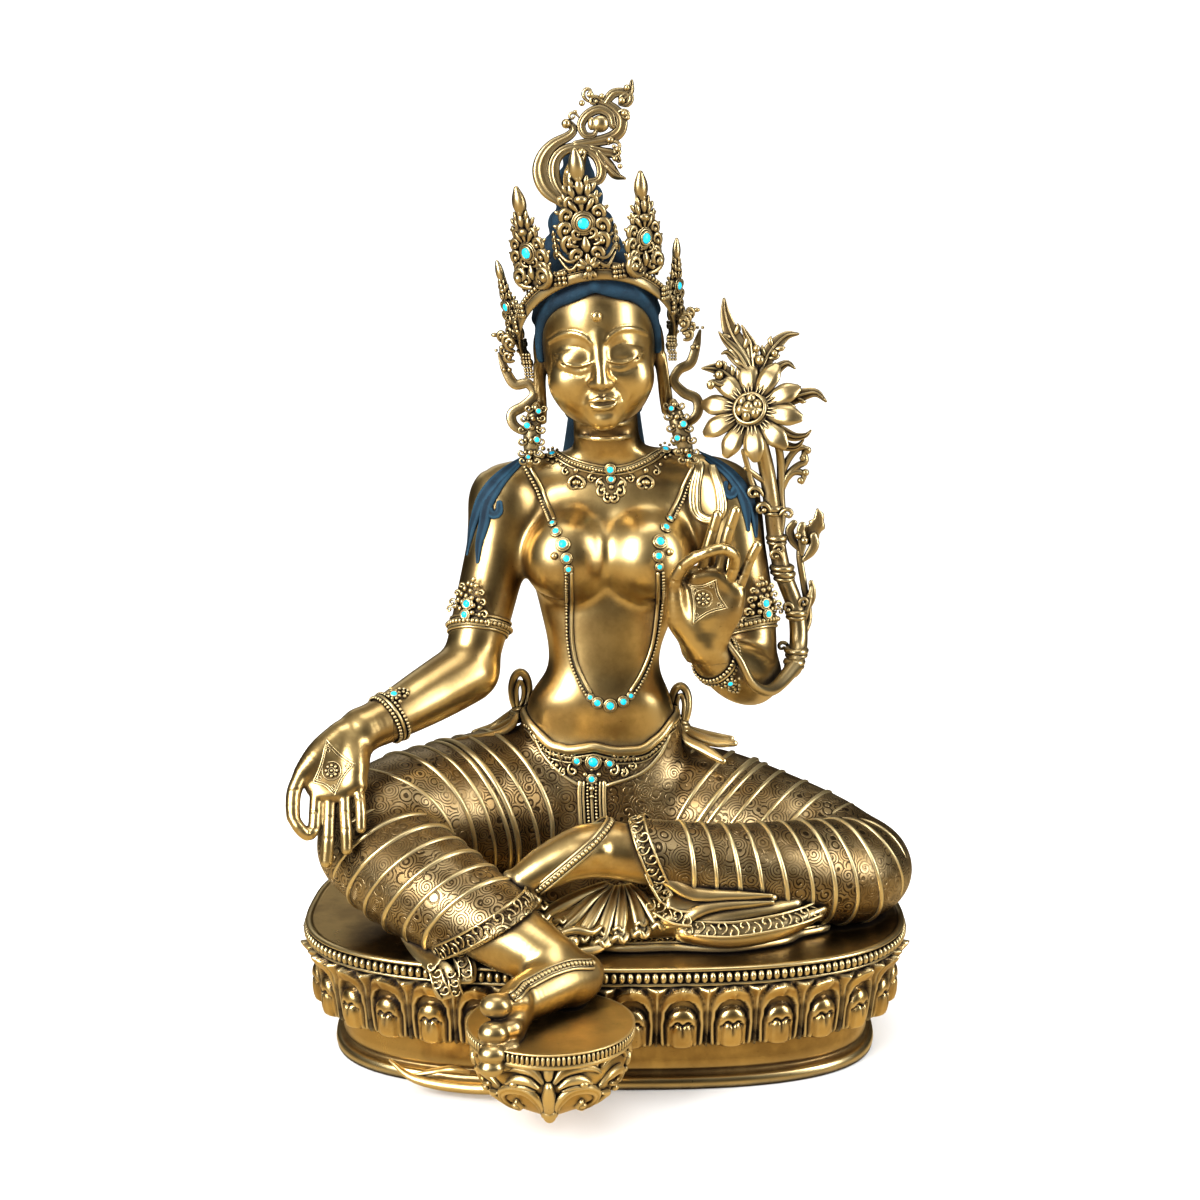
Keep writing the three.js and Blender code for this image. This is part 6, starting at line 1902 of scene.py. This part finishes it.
def crown():
    cast = Cast()
    angles = np.arange(-116, 117, 4)
    strip = [crown_frame(a, 4) for a in angles]

    def band(rise, lift):
        points = np.array([f.at(0, rise, lift) for f in strip])
        outs = np.array([unit(f.out) for f in strip])
        return np.column_stack([points.reshape(-1, 3), outs])

    sweep(cast, band(-1.5, 0.2), 3.2, 1.0, step=3)
    sweep(cast, band(1.8, 0.6), 0.75, sides=6, step=2.5)
    bead_row(cast, band(3.9, 1.3)[:, :3], 1.6, 1.8, detail=1)
    sweep(cast, band(5.4, 0.5), 0.75, sides=6, step=2.5)
    crown_leaf(cast, crown_frame(0, 6, 6), 66, 14.5, 0.36, 5.2, False)
    for side in (-1, 1):
        crown_leaf(cast, crown_frame(side * 41, 6, 4), 60, 13.5, 0.36, 5.0, True)
        far = crown_frame(side * 94, 9, 3)
        turned = CROWN.direction((side * math.sin(math.radians(58)), -math.cos(math.radians(58)), -0.1))
        crown_leaf(cast, Frame(far.place, turned, far.up), 50, 9.0, 0.42, 3.8, True)
        for angle in (21, 62, 78, 108):
            cluster(cast, crown_frame(side * angle, 4, 1.5), 1.75)
        for angle in (30, 52, 70, 86, 100, 112):
            frame = crown_frame(side * angle, 6, 6)
            curl(cast, frame, (0, 0), 90 + side * 30, 2.4, -side, lift=0.8)
            curl(cast, frame, (0, 2), 90 - side * 30, 2.2, side, lift=0.8)
            cast.balls(frame.at([-2.2, 2.2, 0], [6, 6, 8.5], 1), [1.2, 1.2, 1.4])
        sprig = crown_frame(side * 20, 8, 7)
        for y, size in ((7, 3.0), (12, 2.6), (16.5, 2.1), (20, 1.6)):
            drop(cast, sprig, (0, y), 90, size * 1.6, size * 0.55, lift=1.5)
            for hand in (-1, 1):
                curl(cast, sprig, (hand * size * 0.5, y - 1), 90 - hand * 30, size * 0.75, hand, lift=1.2)
        for k, sag in enumerate((0.0, 2.4)):
            start = sprig.at(-side * 1.0, 9 - k * 3, 1.5)
            end = crown_frame(0, 6, 6).at(side * 4.5, 4 - k * 2, 2.5)
            low = start * 0.55 + end * 0.45 - CROWN.direction((0, 0, 3.5 + sag))
            low = low + CROWN.direction((0, -1.5, 0))
            sweep(cast, [start, low, end], 1.0, step=1.5)
        spray = crown_frame(side * 106, 0, -1)
        for x, y, heading, size in ((3, 0, 20, 4.2), (7, 5, 40, 3.6), (12, 9, 50, 2.8), (2, 6, 70, 3.0),
                                    (3, -6, -20, 3.2)):
            curl(cast, spray, (side * -x * 0.5, y * 0.9), 90 + side * heading, size * 0.9, -side, lift=1.5,
                 width=0.55, ball=0.6)
        cast.balls(spray.at([side * -4, side * -8, side * -10], [4, 10, 14], 2.0), [2.2, 1.8, 1.6])
        fan = Frame(CROWN.point((side * 50, 0, 4)), CROWN.direction((side * 0.3, -0.95, 0)),
                    CROWN.direction((0, 0, 1)))
        for x, y, heading, size in ((2, 2, 20, 3.6), (6, 5, 45, 3.2), (10, 9, 60, 2.6), (3, -4, -10, 3.0),
                                    (7, 0, 10, 2.4)):
            curl(cast, fan, (side * x, y), 90 - side * (90 - heading), size, side, lift=1.0,
                 width=0.55, ball=0.6)
        cast.balls(fan.at([side * 4, side * 9, side * 13], [0, 5, 13], 1.5), [2.2, 1.8, 1.5])
        for y in (0, -5, -10):
            cluster(cast, Frame(CROWN.point((side * 44, -6, 2 + y)),
                                CROWN.direction((side * 0.4, -0.9, 0)), UPWARD), 1.2)
    flower = crown_frame(0, 6, 2)
    for heading in (90, 50, 130, 18, 162):
        drop(cast, flower, (0, 2), heading, 7.5 if heading == 90 else 6.5, 2.0, lift=3.4)
    for heading in (-90, -50, -130):
        drop(cast, flower, (0, 0.5), heading, 5.5, 1.8, lift=3.6)
    cast.balls(flower.at(0, 1.5, 4.6), 2.0)
    piece("crown_leaves", cast, crown_gilding, ("crown",))


def topknot_scroll():
    cast = Cast()
    at = lambda rows, y=-8.0: SEAT.point([(x, y, z) for x, z in rows])

    def stem(rows, widths, depth=2.2, y=-8.0, ribs=3):
        sweep(cast, at(rows, y), widths, depth, face=FRONT, ribs=ribs, sides=22, step=1.4, rib_depth=0.6)

    stem([(-25, 440), (-35, 449), (-39, 459), (-37, 468), (-31, 475), (-22, 480), (-19, 484), (-22.5, 488)],
         [2.6, 4.6, 5.4, 5.0, 4.2, 3.4, 2.8, 2.2])
    cast.balls(at([(-23.5, 487)], -9.5), 2.9, detail=2)
    stem([(-24, 443), (-30, 453), (-31, 463), (-27, 470), (-20, 473), (-11, 472), (-4.5, 467.5), (-2, 460),
          (-4, 454), (-11, 453), (-15, 456)],
         [2.2, 3.4, 3.8, 3.6, 3.2, 3.2, 3.4, 3.6, 3.2, 2.4, 1.6])
    stem([(-18, 475), (-7, 476.5), (3.5, 479), (9, 483.5), (9.5, 490.5), (5, 496), (-1, 499), (-6.5, 500.5)],
         [2.4, 3.0, 3.4, 3.8, 3.8, 3.4, 2.8, 1.8])
    stem([(4.5, 486), (2.5, 492.5), (-4, 495.3), (-11, 492), (-14.5, 486), (-12, 480.5), (-7, 480.5),
          (-5, 484)], [2.4, 2.8, 3.0, 3.0, 2.9, 2.6, 2.0, 1.3], y=-9.0)
    cast.balls(at([(-3, 487)], -9.0), [5.6, 3.8, 5.2], detail=2)
    cast.balls(at([(-8, 487)], -10.0), [2.6, 2.4, 4.0], detail=2)
    stem([(0, 499), (4.5, 504.5), (10.5, 505.5), (15, 503), (13.5, 498.8), (9, 499)],
         [2.4, 3.0, 2.8, 2.6, 2.2, 1.5])
    cast.balls(at([(10, 500.5)], -9.5), 2.2, detail=2)
    stem([(10, 502), (15, 506), (16, 512)], [2.8, 2.4, 1.1], 2.2, ribs=2)
    cast.balls(at([(13, 508)], -9.5), 2.0)
    stem([(-8, 473), (-1, 470.5), (5, 469.5), (8, 466)], [2.0, 2.8, 3.0, 2.0], ribs=2)
    stem([(-4, 470), (2, 462.5), (9.5, 455.5)], [2.6, 3.6, 1.0], ribs=2)
    stem([(1, 462), (6, 457), (12, 455)], [2.0, 2.6, 0.8], 2.2, ribs=1)
    for x, z, r in ((3, 477.5, 2.4), (7.5, 472, 2.0), (6, 466.5, 1.8), (9, 462, 1.6), (-14, 499, 1.9),
                    (-9, 504, 2.2), (11.5, 493, 2.2), (13.5, 490.5, 1.6), (-2, 503, 1.8), (-18, 494, 1.4)):
        cast.balls(at([(x, z)], -9.5), r)
    frame = Frame(at([(0, 0)])[0])
    for x, z, heading, size, hand in ((-10, 500, 150, 3.4, -1), (-2, 500, 120, 3.2, 1),
                                      (8, 494, 30, 3.0, -1), (2, 475, 40, 3.2, -1), (4, 468, -10, 2.8, 1),
                                      (-16, 491, 120, 2.6, 1)):
        curl(cast, frame, (x, z), heading, size, hand, width=0.36, lift=1.0)
    for x, width in ((-19.5, 4.2), (-15.5, 3.8)):
        stem([(x + 1, 442), (x - 1.5, 451), (x - 0.5, 460), (x + 3, 468)], [1.6, width, width, 1.4], 4.0,
             y=-10.0, ribs=1)
    for rows in ([(-27, -8, 442), (-23, -2, 438), (-18, 6, 434)],
                 [(-22, -10, 458), (-20, -2, 456), (-17, 8, 454)],
                 [(-14, -9, 470), (-15, 0, 469), (-17, 10, 466)]):
        sweep(cast, SEAT.point(rows), [3.2, 2.8, 3.2], sides=10, step=2)
    piece("topknot_scroll_work", cast, floral_gilding, ("topknot_scroll",))


# Earrings and the lotus spray


def earrings():
    for side, name, ribbon, hanging in (
        (-1, "earring_right", [(-66, 350), (-61, 338), (-56, 331), (-48, 331.5), (-44, 325), (-50, 318),
                               (-58, 313), (-57, 306), (-50, 302), (-45, 305)],
         [(-42, 318), (-45, 308), (-45.5, 298), (-46.5, 288), (-47, 281)]),
        (1, "earring_left", [(59, 364), (56, 352), (53, 344), (46, 340), (43, 333), (49, 326), (57, 322),
                             (58, 314), (53, 308), (46, 309)],
         [(42, 320), (45, 309), (48, 299), (51, 289), (53, 281)]),
    ):
        cast = Cast()
        route = SEAT.point([(x, 5 - 0.3 * i, z) for i, (x, z) in enumerate(ribbon)])
        sweep(cast, route, [1.0, 2.6, 3.2, 3.2, 3.0, 3.2, 3.4, 3.2, 2.8, 1.8], 1.8, face=FRONT, sides=16,
              ribs=3, rib_depth=0.45, step=1.5)
        for i, size in ((0, 1.2), (1, 1.6)):
            for x in (-1.6, 1.6):
                cast.balls(route[i] + (x, -1.2, 2), size)
        body = SEAT.point([(x, 0, z) for x, z in hanging])
        sweep(cast, body, [3.0, 5.2, 5.6, 4.6, 2.0], [2.5, 4.2, 4.4, 3.6, 1.8], face=FRONT, sides=10)
        for share, width in ((0.05, 3), (0.2, 5), (0.38, 6), (0.56, 5.6), (0.74, 4.6), (0.9, 2.4)):
            spot = along(body, [share])[0]
            for x in (-1, 0, 1):
                cast.balls(spot + (x * width * 0.62, -4.6 + 1.2 * abs(x), (share * 10 % 1) * 2),
                           1.9 - 0.3 * abs(x))
            for x in (-1, 1):
                curl(cast, Frame(spot + (x * width * 0.5, -4.2, 0)), (0, 0), -90 + x * 40, 2.3,
                     x, width=0.36)
        for dx, share, radius in ((-2, 0.08, 1.5), (3, 0.3, 1.9), (-3.4, 0.52, 1.7), (1, 0.8, 1.3)):
            spot = along(body, [share])[0]
            set_stone(cast, Frame(spot + (side * dx, -6, 0)), radius, rims=1)
        piece(name + "_work", cast, floral_gilding, (name,))


def acanthus(cast, route, half, face, lobes=3):
    """A leaf: a ribbed blade with a midrib and, on each edge, pointed lobes."""
    points = course(SEAT.point(route), 1.5)
    forward, across, out = frames_along(points, face)
    sweep(cast, SEAT.point(route), np.array([0.5, 0.95, 1.0, 0.7, 0.2]) * half, 1.5, face=face, sides=16,
          ribs=3, rib_depth=0.6, cup=0.1, step=1.8)
    sweep(cast, points + out * 1.3, [1.1, 1.0, 0.5], sides=6, step=1.5)
    for k in range(lobes):
        i = int((0.16 + 0.2 * k) * (len(points) - 1))
        for side in (-1, 1):
            start = points[i] + across[i] * side * half * 0.4 + out[i] * 0.7
            tip = start + (forward[i] * 0.9 + across[i] * side * 0.85) * half * (1.15 - 0.16 * k)
            bend = (start + tip) / 2 + across[i] * side * 0.2 * half + out[i] * 0.9
            sweep(cast, [start, bend, tip], np.array([0.8, 1.0, 0.4]) * half * 0.38, 1.3, face=out[i],
                  ribs=1, step=1.6)
            cast.balls(tip, half * 0.17)


def lotus_spray():
    cast = Cast()
    flower = Frame(SEAT.point((90, -15, 315)), (-0.3, -0.9, 0.3))
    for i in range(10):
        angle = math.radians(28 + 36 * i)
        across, up = math.cos(angle), math.sin(angle)
        near = i % 2
        reach = np.array([7, 13, 20, 26, 32])
        lift = np.array([1.0, 1.6, 2.2, 2.0, 0.2]) + 1.2 * near
        route = flower.at(across * reach, up * reach, lift)
        sweep(cast, route, [2.6, 4.8, 6.4, 6.2, 2.6], [1.6, 2.4, 2.8, 2.4, 1.0], face=flower.out, sides=16,
              ribs=2, rib_depth=0.3, step=2.0)
        for turn in (-0.17, 0, 0.17):
            line = flower.at(np.cos(angle + turn) * np.array([10, 13, 16.5]),
                             np.sin(angle + turn) * np.array([10, 13, 16.5]),
                             np.array([4.1, 4.2, 4.4]) + 1.1 * near)
            sweep(cast, line, [0.5, 0.55, 0.3], sides=5, step=1.5)
    cast.balls(flower.at(0, 0, 3.2), [9.4, 9.4, 4.6], detail=2)
    hoop(cast, flower.moved(0, 0, 6.0), 9.2, 1.5, sides=12, step=1.5)
    hoop(cast, flower.moved(0, 0, 3.6), 10.4, 1.2, sides=10, step=1.5)
    for i in range(6):
        angle = math.radians(60 * i + 20)
        cast.balls(flower.at(5.4 * math.cos(angle), 5.4 * math.sin(angle), 8.6), [3.0, 3.0, 3.4], detail=2)
    cast.balls(flower.at(0, 0, 10.2), 3.3, detail=2)
    up_face = unit((-0.1, -1, 0.1))
    for route, half, lobes in (
        ([(92, -8, 338), (86, -6, 350), (78, -4, 362), (74, -4, 374), (73, -5, 383)], 5.4, 3),
        ([(90, -8, 338), (84, -7, 344), (79, -6, 348), (75, -6, 351), (72, -7, 350)], 3.6, 0),
        ([(92, -8, 338), (91, -7, 347), (90, -6, 355), (87, -6, 361), (84, -7, 367)], 3.4, 0),
        ([(88, -8, 340), (82, -7, 350), (77, -6, 355), (73, -6, 359), (70, -7, 363)], 3.2, 0),
        ([(95, -8, 336), (99, -5, 346), (105, -3, 355), (112, -2, 361), (119, -3, 362)], 4.8, 3),
        ([(96, -8, 330), (103, -6, 337), (108, -5, 342), (113, -5, 344), (117, -6, 341)], 3.4, 0),
        ([(97, -8, 318), (110, -8, 321), (122, -8, 325), (130, -9, 326), (136, -10, 321)], 4.4, 3),
        ([(97, -8, 308), (108, -8, 303), (117, -8, 299), (124, -9, 300), (127, -10, 303)], 3.4, 0),
        ([(97, -6, 300), (106, -5, 296), (113, -5, 293), (119, -6, 293), (123, -7, 297)], 3.4, 0),
        ([(84, -8, 330), (77, -7, 336), (71, -7, 340), (66, -8, 341), (60, -9, 341)], 4.6, 3),
        ([(82, -8, 326), (75, -8, 330), (70, -9, 331), (66, -10, 333), (63, -10, 332)], 3.4, 0),
    ):
        acanthus(cast, route, half, up_face, lobes)
    for x, y, z, size in ((70, -10, 337, 2.6), (65, -10, 331, 2.6), (70, -10, 343.5, 2.2),
                          (95, -10, 346, 2.8), (93, -9, 353, 2.2), (104, -9, 350, 2.0),
                          (107, -9, 326, 2.4), (112, -9, 312, 2.2)):
        cast.balls(SEAT.point((x, y, z)), [size, size, size * 1.15], detail=2)
    stem = [(74, -55, 192), (73, -58, 180), (81, -60, 168), (88, -57, 154), (97, -48, 147), (106, -34, 147),
            (119, -14, 156)]
    sweep(cast, SEAT.point(stem), [1.8, 2.0, 2.6, 3.2, 3.8, 4.6, 5.2], sides=12, ribs=1,
          rib_depth=0.2, step=2.4)
    stalk = [(118, -14, 154), (123, 1, 168), (121.5, 5, 189), (113, 9, 213), (108, 9, 237), (105, 6, 258),
             (101, 3, 280), (93, -8, 308)]
    sweep(cast, SEAT.point(stalk), [5.6, 5.8, 5.6, 5.6, 5.4, 5.2, 4.8, 4.2], sides=14, step=2.2)
    for place, radius in (((119, -12, 157), 5.6), ((121, -5, 163), 6.4), ((121.5, 4, 186), 5.8),
                          ((114, 8.5, 210), 6.0), ((112.5, 8.5, 214), 6.6), ((109, 9, 233), 5.6),
                          ((106, 7, 252), 5.4)):
        spot = SEAT.point(place)
        for step, thick in ((-1.6, 1.5), (1.4, 2.1)):
            hoop(cast, Frame(spot + UPWARD * step, unit((0, -0.1, 1)), FRONT), radius - 0.5, thick, sides=10)
    for x, z, heading, size, hand in ((118, 186, 60, 3.6, 1), (124, 190, 120, 3.2, -1),
                                      (112, 222, 100, 3.6, 1), (106, 228, 60, 3.0, -1),
                                      (104, 252, 110, 4.0, 1), (110, 250, 60, 3.4, -1),
                                      (117, 164, 100, 3.2, 1), (99, 262, 110, 4.2, 1)):
        curl(cast, Frame(SEAT.point((x, 1, z))), (0, 0), heading, size, hand, width=0.4)
    for route, widths in (
        ([(121, 2, 166), (130, 8, 182), (127, 10, 204), (124, 10, 222), (125, 11, 232)],
         [2.4, 2.6, 2.4, 2.4, 2.4]),
        ([(109, 8, 226), (112, 8, 246), (111, 7, 262), (110, 3, 284), (106, -6, 300)],
         [2.2, 2.4, 2.6, 2.6, 2.2]),
        ([(110, 7, 262), (115, 6, 274), (121, 6, 280), (126, 6, 283), (125, 6, 289)],
         [2.0, 2.4, 2.4, 2.2, 1.8]),
        ([(111, 6, 268), (118, 6, 276), (125, 6, 275), (124, 6, 270)], [1.8, 2.4, 2.2, 1.6]),
        ([(110, 6, 272), (115, 5, 284), (121, 5, 291), (126, 5, 291), (124, 5, 286)],
         [1.8, 2.2, 2.2, 2.0, 1.5]),
        ([(104, 6, 254), (102, 4, 268), (95, 2, 274), (88, 0, 279)], [1.6, 2.2, 2.0, 1.6]),
        ([(96, 2, 262), (92, 2, 270), (89, 0, 281), (86, -3, 290)], [1.6, 1.8, 1.8, 1.6]),
        ([(123, 3, 172), (127, 4, 186), (130, 5, 196), (131, 5, 203)], [1.6, 2.4, 2.6, 1.2]),
    ):
        sweep(cast, SEAT.point(route), widths, sides=12, ribs=1, rib_depth=0.3, step=1.8)
    for x, z, r in ((127, 290, 2.6), (126, 276, 2.4), (123, 271, 2.2), (124, 285, 2.0), (130, 197, 2.4),
                    (126, 233, 2.6), (122, 236, 2.2)):
        cast.balls(SEAT.point((x, 5, z)), r)
    side_face = unit((0.1, -1, 0.1))
    for route, half, lobes, y in (
        ([(125, 230), (130, 236), (134, 241), (136, 247), (135, 252)], 6.4, 4, 12),
        ([(124, 226), (119, 233), (117, 239), (120, 244)], 3.0, 0, 9),
        ([(125, 224), (125, 233), (124, 239), (125, 243)], 3.0, 0, 7),
        ([(126, 220), (131, 226), (133, 231), (132, 236)], 3.2, 0, 8),
        ([(127, 186), (131, 194), (132, 200), (131, 206)], 2.4, 0, 6),
    ):
        rows = SEAT.point([(x, y, z) for x, z in route])
        widths = np.array([0.4, 0.9, 1.0, 0.75, 0.2][:len(rows)]) * half
        sweep(cast, rows, widths, 1.8, face=side_face, sides=16, ribs=3, scallops=lobes, step=1.7)
    piece("lotus_spray_work", cast, floral_gilding, ("lotus_spray",))


skirt()
belt()
seat_cloth()
hair()
necklace()
long_chain()
bands()
crown()
topknot_scroll()
earrings()
lotus_spray()
stone_nodes = ["belt_stone"] + ["crown_stone_" + name
                                for name in ("centre", "side_right", "side_left", "far_right", "far_left")]
piece("set_stones", STONES, turquoise, tuple(stone_nodes))


# The floor, the light and the camera


# What the gilding mirrors below the horizon: a warm table
TABLE_GLOW = tone(0.64, 0.5, 0.29)
TABLE_EDGE = tone(0.05, 0.04, 0.026)
DARK_ROOM = tone(0.008, 0.006, 0.004)
CEILING = tone(0.26, 0.235, 0.2)

# Half the floor's side in metres, and the camera's place in metres, dip in degrees and lens in mm
FLOOR_REACH = 6.0
CAMERA_PLACE = (-0.0031, -1.0638, 0.4336)
CAMERA_DIP = 8.315
FOCAL_LENGTH = 51.0
SENSOR_WIDTH = 36.0


def floor():
    f = Finish("studio_floor")
    grain = f.noise(3.0)
    colour = f.blend(grain, tone(0.83, 0.83, 0.83), tone(0.85, 0.85, 0.85))
    finish = f.surface(**{"Base Color": colour, "Roughness": 0.8 + grain * 0.1, "Specular IOR Level": 0.1})
    mesh = bpy.data.meshes.new("floor")
    corners = [(x * FLOOR_REACH, y * FLOOR_REACH, 0) for x, y in ((-1, -1), (1, -1), (1, 1), (-1, 1))]
    mesh.from_pydata(corners, [], [(0, 1, 2, 3)])
    mesh.materials.append(finish)
    ground = added("floor", mesh)
    # The gilding mirrors the warm table below instead
    ground.visible_glossy = False


def softbox(name, place, size, power):
    """A soft lamp facing the figure's middle; places and sizes in metres, power in watts."""
    data = bpy.data.lights.new(name, "AREA")
    data.shape = "RECTANGLE"
    data.size, data.size_y = size
    data.energy = power
    lamp = added(name, data)
    lamp.location = place
    x, y, z = np.array([0, 0, 0.3]) - place
    lamp.rotation_euler = Euler((math.atan2(math.hypot(x, y), -z), 0, math.atan2(y, x) - math.pi / 2))


def room():
    """A pale sky for the eye and the floor, and a dark studio over a warm table in reflections."""
    world = bpy.data.worlds.new("studio")
    bpy.context.scene.world = world
    world.use_nodes = True
    n = Nodes(world.node_tree)
    height = n.node("SeparateXYZ", None, n.node("TexCoord", output="Generated"), output="Z")
    haze = n.node("ValToRGB", {"stops": ((0.0, tone(0.985, 0.985, 0.985)), (0.16, tone(1, 1, 1)))}, height,
                  output="Color")
    sky = n.node("Background", None, haze, 1.15)
    level = n.node("MapRange", None, **{"Value": height, "From Min": -1.0})
    stops = ((0.0, TABLE_GLOW), (0.33, TABLE_GLOW), (0.43, TABLE_EDGE), (0.5, DARK_ROOM), (0.66, DARK_ROOM),
             (0.97, CEILING))
    mirrored = n.node("Background", None, n.node("ValToRGB", {"stops": stops}, level, output="Color"))
    glossy = n.node("LightPath", None, output="Is Glossy Ray")
    n.node("OutputWorld", None, n.node("MixShader", None, glossy, sky, mirrored))


def view():
    bpy.context.scene.view_settings.view_transform = "Standard"
    bpy.context.scene.view_settings.look = "Medium High Contrast"
    lens = bpy.data.cameras.new("camera")
    lens.lens = FOCAL_LENGTH
    lens.sensor_width = SENSOR_WIDTH
    camera = added("camera", lens)
    camera.location = CAMERA_PLACE
    camera.rotation_euler = Euler((math.radians(90 - CAMERA_DIP), 0, 0))
    bpy.context.scene.camera = camera


floor()
softbox("key_softbox", (-1.3, -1.5, 1.05), (1.0, 1.5), 60)
softbox("side_softbox", (1.7, -0.8, 0.9), (0.5, 1.6), 25)
softbox("top_softbox", (0.1, -0.2, 2.0), (1.1, 0.8), 7)
softbox("back_softbox", (-0.6, 1.8, 1.3), (1.6, 0.8), 2.2)
room()
view()
